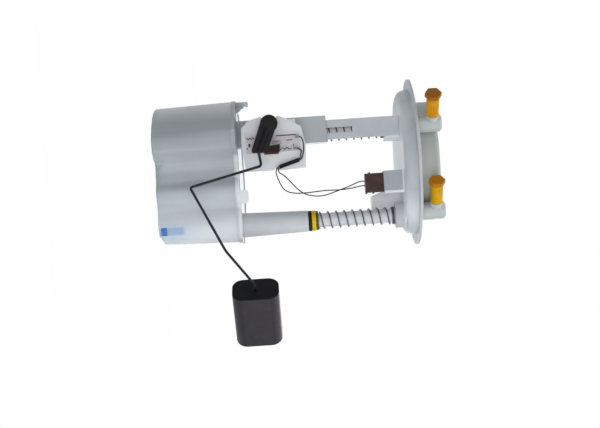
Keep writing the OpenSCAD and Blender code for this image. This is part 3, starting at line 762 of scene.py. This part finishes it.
    # Its second colour is painted shade between the strands.
    braid = BraidFinish(
        "lead_braid", "lead_black", (32, 35, 39), (9, 10, 12),
        rough=0.6, specular=0.12, grain=Grain.WOVEN,
    )
    float_skin = FloatFinish(
        "float_skin", "float_black", (49, 47, 52), (45, 43, 48),
        cloud=5.0, rough=0.42, wander=0.04, specular=0.14, grain=Grain.FOAM,
    )
    strainer = MeshFinish(
        "strainer_cloth", "strainer_mesh", (178, 192, 206), (164, 180, 196),
        rough=0.7, grain=Grain.WOVEN,
    )
    flap = Finish("flap_rubber", "flap_rubber", (60, 60, 62), (48, 48, 50), rough=0.6)


def place(name: str, data: bpy.types.ID) -> bpy.types.Object:
    """A new object in the scene, at the origin, with that mesh, lamp or camera in it."""
    made = bpy.data.objects.new(name, data)
    bpy.context.scene.collection.objects.link(made)
    return made


def stand(made: bpy.types.Object, at: Sequence[float], *axes: Sequence[float]) -> None:
    """Moves a lamp or the camera to a place in millimetres, with its right, up and back axes."""
    turn = Matrix(np.column_stack(axes).tolist())
    made.matrix_world = Matrix.Translation([v * MM for v in at]) @ turn.to_4x4()


def smooth(mesh: bpy.types.Mesh, crease: float) -> None:
    """Shades a mesh smooth, with edges over that many degrees kept crisp."""
    mesh.polygons.foreach_set("use_smooth", np.ones(len(mesh.polygons), bool))
    mesh.set_sharp_from_angle(angle=math.radians(crease))
    mesh.update()


def settle(made: bpy.types.Object) -> None:
    """Merges a piece's doubles, turns its faces outwards and shades it smooth."""
    work = bmesh.new()
    work.from_mesh(made.data)
    bmesh.ops.remove_doubles(work, verts=work.verts, dist=1e-6)
    bmesh.ops.recalc_face_normals(work, faces=work.faces)
    work.to_mesh(made.data)
    work.free()
    smooth(made.data, SKIN_CREASE)


def skin(name: str, grid: np.ndarray, closed: bool = True, capped: bool = True) -> bpy.types.Object:
    """A surface over a grid of points, with a quad between each four neighbours.

    Args:
        name: The piece's name.
        grid: Points as rows, columns and X, Y, Z, in millimetres.
        closed: Whether the last column meets the first.
        capped: Whether flat faces close the first and the last row.

    Returns:
        The piece, linked to the scene.
    """
    rows, columns = grid.shape[:2]
    row = np.arange(rows - 1)[:, None] * columns
    column = np.arange(columns if closed else columns - 1)
    after = (column + 1) % columns
    quads = [row + column, row + after, row + columns + after, row + columns + column]
    faces = np.stack(quads, axis=-1).reshape(-1, 4).tolist()
    if capped:
        faces.append(list(range(columns - 1, -1, -1)))
        faces.append(list(range((rows - 1) * columns, rows * columns)))
    mesh = bpy.data.meshes.new(name)
    mesh.from_pydata((grid.reshape(-1, 3) * MM).tolist(), [], faces)
    mesh.update()
    made = place(name, mesh)
    settle(made)
    return made


def ring(name: str, at: Pair, profile: Sequence[Pair], sides: int) -> bpy.types.Object:
    """A closed profile of radius and height, turned about an upright axis.

    Args:
        name: The piece's name.
        at: The axis in plan.
        profile: Radius and height of each corner, in order round the section.
        sides: Steps round the axis.

    Returns:
        The piece.
    """
    radius, height = np.array([*profile, profile[0]], float).T[..., None]
    angle = np.linspace(0, TURN, sides, endpoint=False)
    x, y = at[0] + radius * np.cos(angle), at[1] + radius * np.sin(angle)
    return skin(name, np.stack([x, y, np.broadcast_to(height, x.shape)], axis=-1), capped=False)


def prism(name: str, corners: Sequence[Pair], low: float, high: float) -> bpy.types.Object:
    """An upright prism over a plan of corners, between two heights."""
    rows = [np.column_stack([corners, np.full(len(corners), h)]) for h in (low, high)]
    return skin(name, np.array(rows))


def eased(values: np.ndarray, width: int, **padding: str) -> np.ndarray:
    """Moving average under a raised cosine of an odd width.

    Args:
        values: The numbers.
        width: How many of them count for each average.
        padding: How np.pad carries them on beyond their ends.

    Returns:
        As many averages as there are numbers.
    """
    window = np.hanning(width)
    return np.convolve(np.pad(values, width // 2, **padding), window / window.sum(), mode="valid")


def smooth_path(knots: Sequence[Sequence[float]], steps: int) -> np.ndarray:
    """A Catmull-Rom curve through every knot.

    Args:
        knots: Points in millimetres.
        steps: Points in each stretch.

    Returns:
        The points of the curve.
    """
    p = np.asarray(knots, float)
    before = np.vstack([p[:1], p[:-2]])
    after = np.vstack([p[2:], p[-1:]])
    a, b, c, d = before[:, None], p[:-1, None], p[1:, None], after[:, None]
    t = np.linspace(0, 1, steps, endpoint=False)[None, :, None]
    curve = 0.5 * (
        2 * b + (c - a) * t + (2 * a - 5 * b + 4 * c - d) * t**2
        + (3 * b - a - 3 * c + d) * t**3
    )
    return np.vstack([curve.reshape(-1, 3), p[-1:]])


def bent_path(corners: Sequence[Sequence[float]], trim: float, steps: int) -> np.ndarray:
    """Straight runs with each corner rounded by a quadratic curve that starts trim before it.

    Args:
        corners: Points in millimetres.
        trim: Distance from a corner at which its curve starts and ends.
        steps: Points in each curve.

    Returns:
        The points of the path.
    """
    p = np.asarray(corners, float)
    into = p[:-2] - p[1:-1]
    out = p[2:] - p[1:-1]
    start = p[1:-1] + trim * into / np.linalg.norm(into, axis=1, keepdims=True)
    end = p[1:-1] + trim * out / np.linalg.norm(out, axis=1, keepdims=True)
    t = np.linspace(0, 1, steps)[None, :, None]
    knees = (1 - t) ** 2 * start[:, None] + 2 * t * (1 - t) * p[1:-1, None] + t**2 * end[:, None]
    return np.vstack([p[:1], knees.reshape(-1, 3), p[-1:]])


def tube(
    name: str, path: np.ndarray, radius: float, sides: int, across: Triple
) -> bpy.types.Object:
    """A round bar along a path, with domed ends and a UV map that runs round and along it.

    Each ring stands square to the path: its two axes come from the path's direction and a fixed
    vector that the path never follows. Two smaller rings at each end make its dome.

    Args:
        name: The piece's name.
        path: Points in millimetres.
        radius: The bar's radius.
        sides: Corners of each ring.
        across: The fixed vector.

    Returns:
        The piece.
    """
    ahead = np.gradient(path, axis=0)
    ahead /= np.linalg.norm(ahead, axis=1, keepdims=True)
    side = np.cross(ahead, np.asarray(across, float))
    side /= np.linalg.norm(side, axis=1, keepdims=True)
    up = np.cross(ahead, side)
    angle = np.linspace(0, TURN, sides, endpoint=False)[None, :, None]
    middle = path[:, None]
    grid = middle + radius * (np.cos(angle) * side[:, None] + np.sin(angle) * up[:, None])
    dome, bulge = np.array([0.45, 0.85])[:, None, None], 0.25
    start = middle[:1] + (grid[:1] - middle[:1]) * dome - ahead[0] * radius * bulge
    end = middle[-1:] + (grid[-1:] - middle[-1:]) * dome[::-1] + ahead[-1] * radius * bulge
    made = skin(name, np.concatenate([start, grid, end]))
    length = np.concatenate([[0], np.cumsum(np.linalg.norm(np.diff(path, axis=0), axis=1))])
    layer = made.data.uv_layers.new(name="around_and_along")
    corners = np.empty(len(made.data.loops), np.int32)
    made.data.loops.foreach_get("vertex_index", corners)
    row = np.clip(corners // sides - len(dome), 0, len(path) - 1)
    flat = np.stack([(corners % sides) / sides, length[row] / length[-1]], axis=-1)
    layer.data.foreach_set("uv", flat.ravel().astype(np.float32))
    return made


def bake(made: bpy.types.Object) -> None:
    """Applies a piece's modifiers to its mesh."""
    bpy.context.view_layer.update()
    graph = bpy.context.evaluated_depsgraph_get()
    done = bpy.data.meshes.new_from_object(made.evaluated_get(graph))
    made.modifiers.clear()
    made.data = done


def carve(made: bpy.types.Object, cutters: Sequence[bpy.types.Object]) -> None:
    """Cuts the shapes of other pieces out of a piece and deletes them.

    Args:
        made: The piece.
        cutters: The other pieces.
    """
    for cutter in cutters:
        cut = made.modifiers.new("cut", "BOOLEAN")
        cut.operation = "DIFFERENCE"
        cut.solver = "EXACT"
        cut.object = cutter
    bake(made)
    for cutter in cutters:
        bpy.data.objects.remove(cutter)
    settle(made)


@dataclass
class Assembly:
    """Pieces that ride on one body, with the calls that dress them."""

    nodes: dict[str, bpy.types.Object]

    def dress(
        self, made: bpy.types.Object, finish: Finish, node: str, body: Body | None
    ) -> None:
        """Gives a piece its finish and its body, and hides the CAD node that it stands for.

        Args:
            made: The piece.
            finish: Its finish.
            node: The CAD node that it replaces.
            body: The body it moves with, or None to leave it on no body.
        """
        finish.cover(made)
        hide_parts(node)
        if body is not None:
            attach(made, body.value)
        LOG.info("%s: %d faces, on %s", made.name, len(made.data.polygons), body or "two bodies")

    def mould(self, name: str, finish: Finish, body: Body, edge: float) -> bpy.types.Object:
        """Replaces a CAD node by a merged copy with rounded edges, as a moulding's are.

        The rounding is baked in, and weighted normals even out the flat faces.

        Args:
            name: The CAD node.
            finish: The piece's finish.
            body: The body it moves with.
            edge: Width of the rounding in millimetres.

        Returns:
            The piece.
        """
        mesh = self.nodes[name].data.copy()
        mesh.materials.clear()
        work = bmesh.new()
        work.from_mesh(mesh)
        bmesh.ops.remove_doubles(work, verts=work.verts, dist=2e-6)
        flat = math.radians(0.6)
        bmesh.ops.dissolve_limit(work, angle_limit=flat, verts=work.verts, edges=work.edges)
        work.to_mesh(mesh)
        work.free()
        made = place(f"{name}_shape", mesh)
        bevel = made.modifiers.new("round", "BEVEL")
        bevel.width = edge * MM
        bevel.segments = 2
        bevel.limit_method = "ANGLE"
        bevel.angle_limit = math.radians(MOULD_EDGE)
        bevel.use_clamp_overlap = True
        bake(made)
        smooth(made.data, MOULD_CREASE)
        even = made.modifiers.new("even", "WEIGHTED_NORMAL")
        even.keep_sharp = True
        even.weight = 60
        self.dress(made, finish, name, body)
        return made

    def mould_all(self, body: Body, table: dict[str, tuple[Finish, float]]) -> None:
        """Moulds every CAD node of a table, which gives each its finish and its rounding."""
        for name, (finish, edge) in table.items():
            self.mould(name, finish, body, edge)


@dataclass
class Flange(Assembly):
    """The disc and drum with cover, spigots, guides, springs, plug and sockets.

    A spring's row gives its axis in plan, its lower and upper end, all its turns and the closed
    ones at its upper end.
    """

    travel: float = 34.0
    wire: float = 0.5
    coil_radius: float = 6.4
    coil_steps: int = 36
    low_dead: float = 0.5
    springs: tuple[tuple[str, Pair, Pair, float, float], ...] = (
        ("supply_spring", SUPPLY_AT, (122.2, 181.5), 11.5, 2.25),
        ("return_spring", (-26.3, -15.0), (132.5, 177.0), 9.5, 2.0),
    )

    def build(self) -> None:
        """Builds every piece that stays with the flange, and the two caps."""
        self.mould_all(Body.FLANGE, {
            "flange_plate": (Finishes.plate, 0.5),
            "flange_cover": (Finishes.cover, 0.6),
            "supply_spigot": (Finishes.spigot, 0.4),
            "return_spigot": (Finishes.spigot, 0.4),
            "outer_socket": (Finishes.cover, 0.4),
            "flange_terminals": (Finishes.brass, 0.1),
            "supply_guide_tube": (Finishes.tube, 0.3),
            "return_guide_tube": (Finishes.lit_slotted_tube, 0.3),
            "guide_rail": (Finishes.rail, 0.25),
            "harness_plug": (Finishes.plug, 0.3),
            "plug_terminals": (Finishes.brass, 0.08),
        })
        self.mould("supply_cap", Finishes.supply_cap, Body.SUPPLY_CAP, 0.35)
        self.mould("return_cap", Finishes.return_cap, Body.RETURN_CAP, 0.35)
        for row in self.springs:
            self.spring(*row)

    def spring(self, name: str, at: Pair, span: Pair, turns: float, high_dead: float) -> None:
        """A coil spring with closed end coils.

        The wire turns evenly and climbs by its own width over the closed coils and by an even
        pitch between them.

        Args:
            name: The CAD node that it replaces.
            at: The spring's axis in plan.
            span: Its lower and upper end.
            turns: All turns.
            high_dead: Closed turns at the upper end.
        """
        gap = 0.05
        low, high = span[0] + gap, span[1] - gap
        turn = np.linspace(0, turns, int(self.coil_steps * turns) + 1)
        closed = 2.1 * self.wire
        live = turns - self.low_dead - high_dead
        pitch = (high - low - 2 * self.wire - closed * (self.low_dead + high_dead)) / live
        height = (
            low + self.wire + closed * np.minimum(turn, self.low_dead)
            + pitch * np.clip(turn - self.low_dead, 0, live)
            + closed * np.maximum(0, turn - self.low_dead - live)
        )
        half_turn = int(self.coil_steps * 0.5) | 1
        height = eased(height, half_turn, mode="reflect", reflect_type="odd")
        x = at[0] + self.coil_radius * np.cos(TURN * turn)
        y = at[1] + self.coil_radius * np.sin(TURN * turn)
        path = np.stack([x, y, height], axis=-1)
        made = tube(f"{name}_coil", path, self.wire, WIRE_SIDES, (0, 0, 1))
        self.dress(made, Finishes.spring, name, Body.FLANGE)
        length = span[1] - span[0]
        span[1] * MM
        (length - self.travel) / length
        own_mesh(made)


@dataclass
class Reservoir(Assembly):
    """The lobed pot with its lid, sleeves, sliding seal, inner pipes, sender and leads.

    The crown gives the X of the front's furthest point and its bend. A bulge gives its X, its
    depth and its radius at the foot. The facet's edge gives an X, its height there and its fall
    over a millimetre. The foot's lift gives its first X, its run, its rise and its top.
    """

    pot_x: float = -1.5
    base_r: float = 53.2
    rim_r: float = 55.0
    pot_h: float = 60.3
    wall: float = 2.0
    fillet: float = 1.6
    front: float = 46.0
    crown: Pair = (-33.0, 0.005)
    recess: float = 32.0
    recess_x: float = -18.0
    recess_run: float = 9.0
    bulges: tuple[Triple, ...] = ((14.0, 26.0, 9.4), (38.0, 20.0, 14.0))
    facet_x: Pair = (-12.5, 5.2)
    facet_depth: float = 24.0
    facet_edge: Triple = (-10.5, 8.0, 0.42)
    facet_lean: float = 0.45
    lift: tuple[float, ...] = (45.8, 0.7, 2.4, 12.0)
    columns: int = 900
    valve_at: Pair = (-22.0, 18.0)
    valve_ring: float = 5.0
    window: tuple[Pair, ...] = ((39.0, -50.0), (45.0, -50.0), (45.0, -29.6), (39.0, -29.6))
    window_top: float = 6.4
    bore: float = 5.65
    strand_depth: float = 45.1
    lead_radius: float = 0.42
    braid_radius: float = 1.5

    def build(self) -> None:
        """Builds every piece that slides with the reservoir."""
        self.pot()
        self.mould_all(Body.RESERVOIR, {
            "reservoir_lid": (Finishes.lid, 0.4),
            "supply_sleeve": (Finishes.housing, 0.5),
            "return_sleeve": (Finishes.sleeve, 0.5),
            "suction_pipe": (Finishes.spigot, 0.2),
            "return_pipe": (Finishes.spigot, 0.1),
            "suction_strainer": (Finishes.strainer, 0.8),
            "jet_pump": (Finishes.blue, 0.2),
            "inlet_valve_flap": (Finishes.flap, 0.2),
            "sender_cradle": (Finishes.cradle, 0.3),
            "resistor_card": (Finishes.card, 0.08),
            "card_terminals": (Finishes.clip, 0.12),
            "pivot_pin": (Finishes.pin, 0.2),
        })
        Finishes.ink.cover(self.nodes["resistor_tracks"])
        self.seal()
        self.leads()

    def outline(self, angle: np.ndarray, circle: float, swell: float) -> np.ndarray:
        """Distance of the pot's wall from its centre, as the furthest point inside along each ray.

        Inside is the circle in front of the crowned front, the slope and the recess, or one of
        the two bulges. A short moving average rounds the corners.

        Args:
            angle: Directions of the rays.
            circle: Radius of the round back.
            swell: How much the bulges have grown with the draft.

        Returns:
            One distance for each ray.
        """
        reach = np.linspace(20, 64, 900)[None]
        x = self.pot_x + reach * np.cos(angle)[:, None]
        depth = -reach * np.sin(angle)[:, None]
        crown = self.front - self.crown[1] * (x - self.crown[0]) ** 2
        slope = np.interp(x, [self.recess_x, self.recess_x + self.recess_run], [1, 0])
        limit = self.recess + slope * (crown - self.recess)
        inside = (np.hypot(x - self.pot_x, depth) <= circle) & (depth <= limit)
        for middle, deep, radius in self.bulges:
            inside |= np.hypot(x - middle, depth - deep) <= radius + swell
        return eased(np.where(inside, reach, 0).max(axis=1), 15, mode="wrap")

    def pot(self) -> None:
        """The pot: a section of floor, wall and rim carried round the lobed outline.

        The section starts at the middle of the underside, runs out to a rounded foot, up the
        drafted wall, over the rim and back down inside. Each of its points is a share of the
        outline's distance, an inset and a height. The recess is cut back low down, where a
        slanted edge leaves a small facet, and the foot is raised beside the blue insert.
        """
        angle = np.linspace(0, TURN, self.columns, endpoint=False)
        heights = np.linspace(self.fillet, self.pot_h, 24)
        section = [(0.0, 0.0, 0.0), (0.5, 0.0, 0.0), (0.9, 0.0, 0.0)]
        section += [
            (1.0, self.fillet * (1 - math.sin(t)), self.fillet * (1 - math.cos(t)))
            for t in np.linspace(0, QUARTER, 6)
        ]
        section += [(1.0, 0.0, h) for h in heights[1:]]
        section += [(1.0, self.wall, h) for h in heights[::-1]]
        section += [(0.9, self.wall, self.wall), (0.0, self.wall, self.wall)]
        share, inset, height = np.array(section).T[..., None]
        low = self.outline(angle, self.base_r, 0.0)
        high = self.outline(angle, self.rim_r, self.rim_r - self.base_r)
        rise = height / self.pot_h
        reach = ((1 - rise) * low + rise * high - inset) * share
        x = self.pot_x + reach * np.cos(angle)
        y = reach * np.sin(angle)
        edge_x, edge_top, fall = self.facet_edge
        facet = np.clip(edge_top - fall * (x - edge_x) - height, 0, None) * self.facet_lean
        left, right = self.facet_x
        cut = (x > left) & (x < right) & (y < -self.facet_depth) & (inset < self.wall)
        start, run, lift, top = self.lift
        lifted = lift * np.clip((x - start) / run, 0, 1) * np.clip(1 - height / top, 0, 1)
        grid = np.stack([x, y + np.where(cut, facet, 0), height + lifted], axis=-1)
        made = skin("reservoir_pot_shape", grid, capped=False)
        carve(made, self.cutters())
        self.dress(made, Finishes.pot, "reservoir_pot", Body.RESERVOIR)

    def cutters(self) -> list[bpy.types.Object]:
        """Drills for the holes below the flap, and a square bar for the blue insert's window.

        Returns:
            The seven drills and the bar.
        """
        x, y = self.valve_at
        holes = [(x, y, 1.55)]
        holes += [
            (x + self.valve_ring * math.cos(t), y + self.valve_ring * math.sin(t), 1.6)
            for t in np.arange(6) * math.pi / 3
        ]
        angle = np.linspace(0, TURN, 28, endpoint=False)
        circle = np.stack([np.cos(angle), np.sin(angle)], axis=-1)
        drills = [prism("drill", (x, y) + r * circle, -1.0, self.wall + 1) for x, y, r in holes]
        return [*drills, prism("window", self.window, self.wall, self.window_top)]

    def seal(self) -> None:
        """The black seal, the yellow collar and the dark washer at the supply sleeve's mouth."""
        turn = np.linspace(0, QUARTER, 5)
        for name, low, high, radius, edge, finish in (
            ("guide_seal", 114.4, 117.0, 7.9, 0.5, Finishes.seal),
            ("seal_collar", 117.0, 120.2, 7.9, 0.6, Finishes.collar),
            ("spring_washer", 120.2, 122.2, 7.4, 0.5, Finishes.washer),
        ):
            lower = [
                (radius - edge + edge * math.sin(t), low + edge - edge * math.cos(t)) for t in turn
            ]
            upper = [(r, low + high - z) for r, z in lower[::-1]]
            profile = [(self.bore, low), *lower, *upper, (self.bore, high)]
            made = ring(f"{name}_ring", SUPPLY_AT, profile, 96)
            self.dress(made, finish, name, Body.RESERVOIR)

    def leads(self) -> None:
        """The two leads and the braid that holds them together beside the card.

        Both leads run from the card's clips to the plug, between the reservoir and the flange, and
        ride on neither body.
        """
        d = -self.strand_depth
        top = np.array([-5.6, d, 110.0])
        foot = np.array([-1.2, d, 95.6])
        run = foot - top
        across = 0.5 * np.cross(run, (0, 1, 0)) / np.linalg.norm(run)
        signal = [
            (-23, d, 111.2), (-22.6, d, 112.6), (-19.4, d, 114), (-14, d, 114.2), (-9, d, 113.1),
            top + across, foot + across,
            (2.6, -43.4, 94.6), (5.4, -42.4, 98.2), (10.2, -41, 102.6), (16, -39.4, 107.6),
            (20.2, -37.6, 113.2), (22.2, -35.6, 120.6), (22.1, -33, 128), (19.6, -30.6, 137),
            (16.2, -27.6, 147.6), (13.3, -25.4, 155.4), (13.3, -25, 160), (13.3, -25, 163.5),
        ]
        ground = [
            (-14.6, d, 109.2), (-12.6, d, 112.2), (-9.3, d, 111.6),
            top - across, foot - across,
            (1.5, -43.6, 92.6), (4.6, -42, 92.6), (9, -40, 94), (13.5, -38.5, 96),
            (17.3, -36.5, 99.6), (19.1, -34.6, 106), (19.3, -32.8, 115), (18.5, -30.4, 128),
            (18.6, -28, 140), (17.9, -26, 149), (16.7, -25, 156.4), (16.7, -25, 160),
            (16.7, -25, 163.5),
        ]
        for name, knots in (("signal_lead", signal), ("ground_lead", ground)):
            path = smooth_path(knots, 6)
            made = tube(f"{name}_run", path, self.lead_radius, WIRE_SIDES, (0, 1, 0))
            self.dress(made, Finishes.lead, name, None)
            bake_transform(made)
        path = top + np.linspace(0, 1, 24)[:, None] * run
        braid = tube("lead_sleeve_braid", path, self.braid_radius, BAR_SIDES, (0, 1, 0))
        self.dress(braid, Finishes.braid, "lead_sleeve", Body.RESERVOIR)


@dataclass
class FloatArm(Assembly):
    """The holder on its pivot, the wiper, the bent wire and the float.

    The wire's knees are given in X and Z, at its depth.
    """

    depth: float = 50.0
    wire: float = 1.0
    knee_trim: float = 2.4
    length: float = 47.0
    width: float = 35.2
    thick: float = 25.0
    edge: float = 8.6
    near_edge: float = 0.5
    far_edge: float = 2.6
    carrier_x: float = -17.4
    knees: tuple[Pair, ...] = (
        (-29.5, 87.6), (-12.7, 80.4), (-2.7, 81.9), (10.0, 27.5), (59.0, 51.0), (82.3, 68.5)
    )

    def build(self) -> None:
        """Builds every piece that swings with the arm."""
        self.mould("arm_holder", Finishes.holder, Body.ARM, 0.5)
        self.carrier()
        self.mould("wiper_contacts", Finishes.brass, Body.ARM, 0.08)
        way = math.radians(FLOAT_LEAN)
        ahead = np.array([math.cos(way), math.sin(way), 0.0])
        self.rod(ahead)
        self.float_block(ahead)

    def carrier(self) -> None:
        """The wiper's carrier, which shows only below the holder's foot."""
        mesh = self.mould("wiper_carrier", Finishes.carrier, Body.ARM, 0.15).data
        places = np.empty(3 * len(mesh.vertices), np.float32)
        mesh.vertices.foreach_get("co", places)
        places[0::3] = np.maximum(places[0::3], self.carrier_x * MM)
        mesh.vertices.foreach_set("co", places)

    def rod(self, ahead: np.ndarray) -> None:
        """The arm's wire: straight runs in one plane, a last bend and an end inside the float.

        Args:
            ahead: Unit vector along the float's length.
        """
        corners = [(x, -self.depth, z) for x, z in self.knees]
        corners += [tuple(np.array(FLOAT_AT) + reach * ahead) for reach in (-3, 20)]
        path = bent_path(corners, self.knee_trim, 12)
        made = tube("float_wire_rod", path, self.wire, BAR_SIDES, (0, 1, 0))
        self.dress(made, Finishes.arm, "float_wire", Body.ARM)

    def float_block(self, ahead: np.ndarray) -> None:
        """The float: a rounded rectangle along the float's heading, crisp at the wire's end.

        Each corner of the outline is a quarter circle about its own centre. The inset at each
        end follows a quarter circle too, small at the wire's end and larger at the free end.

        Args:
            ahead: Unit vector along the float's length.
        """
        quarter = np.linspace(0, QUARTER, 20)
        turn = (quarter + np.arange(4)[:, None] * QUARTER).ravel()
        outward = np.stack([np.cos(turn), np.sin(turn)], axis=-1)
        middle = np.repeat([(1, 1), (-1, 1), (-1, -1), (1, -1)], len(quarter), axis=0)
        centre = middle * (self.width / 2 - self.edge, self.thick / 2 - self.edge)
        outline = centre + self.edge * outward
        near, far = self.near_edge, self.far_edge
        corner = np.linspace(0, QUARTER, 8)
        back = corner[::-1]
        along = np.concatenate([
            [0.0], near * (1 - np.cos(corner)), [self.length * 0.5],
            self.length - far * (1 - np.cos(back)),
        ])
        inset = np.concatenate([
            [near + 0.9], near * (1 - np.sin(corner)), [0.0], far * (1 - np.sin(back)),
        ])
        rows = outline - inset[:, None, None] * outward
        side = np.array([-ahead[1], ahead[0], 0.0])
        up = np.array([0.0, 0.0, 1.0])
        start = np.array(FLOAT_AT) + along[:, None, None] * ahead
        made = skin("float_block", start + rows[..., :1] * up + rows[..., 1:] * side)
        self.dress(made, Finishes.float_skin, "float", Body.ARM)


@dataclass
class Studio:
    """Floor, soft lights and the camera at the photograph's viewing angle.

    A lamp's row gives its place, the height on the axis that it faces, its side and its watts.
    """

    camera_at: Triple = (35.1, -914.0, 108.2)
    right: Triple = (0.0663, 0.0, 0.9978)
    up: Triple = (-0.9978, 0.0, 0.0663)
    lens: float = 69.42
    floor_half: float = 420.0
    floor_drop: float = 0.05
    floor_white: float = 0.97
    sky: tuple[float, ...] = (0.97, 0.985, 1.0, 1.0)
    sky_level: float = 0.34
    lamps: tuple[tuple[str, Triple, float, float, float], ...] = (
        ("from_below", (600, -420, 90), 100, 520, 1.9),
        ("from_camera", (100, -880, 70), 120, 500, 1.5),
        ("from_flange", (60, -250, 800), 150, 420, 2.2),
        ("from_behind", (120, 760, 330), 100, 500, 1.7),
    )

    def build(self) -> None:
        """Sets up the view, the world, the floor, the lamps and the camera."""
        bpy.context.scene.view_settings.view_transform = "Standard"
        self.world()
        self.floor()
        for row in self.lamps:
            self.lamp(*row)
        self.camera()

    def camera(self) -> None:
        """The camera looks along +Y with the unit's axis across its picture."""
        data = bpy.data.cameras.new("photo_view")
        data.lens = self.lens
        data.sensor_width = 36
        made = place("photo_view", data)
        stand(made, self.camera_at, self.right, self.up, np.cross(self.right, self.up))
        bpy.context.scene.camera = made

    def world(self) -> None:
        """White where it is seen and a plain level as a light."""
        world = bpy.data.worlds.new("studio")
        bpy.context.scene.world = world
        world.use_nodes = True
        nodes = Nodes(world.node_tree)
        kind = "ShaderNodeBackground"
        plain = nodes.node(kind, {}, {"Color": self.sky, "Strength": self.sky_level})
        nodes.whiten(kind, plain, nodes.node("ShaderNodeOutputWorld", {}, {}), 1.0)

    def floor(self) -> None:
        """A plain pale floor that is white where it is seen and keeps a faint shadow."""
        steps = np.linspace(-self.floor_half, self.floor_half, 9)
        x, y = np.meshgrid(steps, steps)
        grid = np.stack([x, y, np.full_like(x, -self.floor_drop)], axis=-1)
        made = skin("studio_floor", grid[::-1], closed=False, capped=False)
        shader = Shader("pale_floor")
        shader.feed({"Base Color": linear((250, 250, 250)), "Roughness": 0.8})
        shader.whiten("ShaderNodeEmission", shader.surface, shader.output, self.floor_white)
        made.data.materials.append(shader.material)

    def lamp(self, name: str, at: Triple, aim: float, size: float, power: float) -> None:
        """A square soft lamp.

        Args:
            name: The lamp's name.
            at: Its place in millimetres.
            aim: The height on the unit's axis that it faces.
            size: Its side in millimetres.
            power: Its power in watts.
        """
        data = bpy.data.lights.new(name, "AREA")
        data.size = size * MM
        data.energy = power
        back = np.array(at, float) - (0, 0, aim)
        back /= np.linalg.norm(back)
        side = np.cross((0, 0, 1), back)
        side /= np.linalg.norm(side)
        stand(place(name, data), at, side, np.cross(back, side), back)


def main() -> None:
    """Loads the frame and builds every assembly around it."""
    logging.basicConfig(level=logging.INFO, format="%(message)s")
    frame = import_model()
    Studio().build()
    nodes = frame["nodes"]
    for assembly in (Flange(nodes), Reservoir(nodes), FloatArm(nodes)):
        assembly.build()
        LOG.info("%s is done", type(assembly).__name__)


if __name__ == "__main__":
    main()
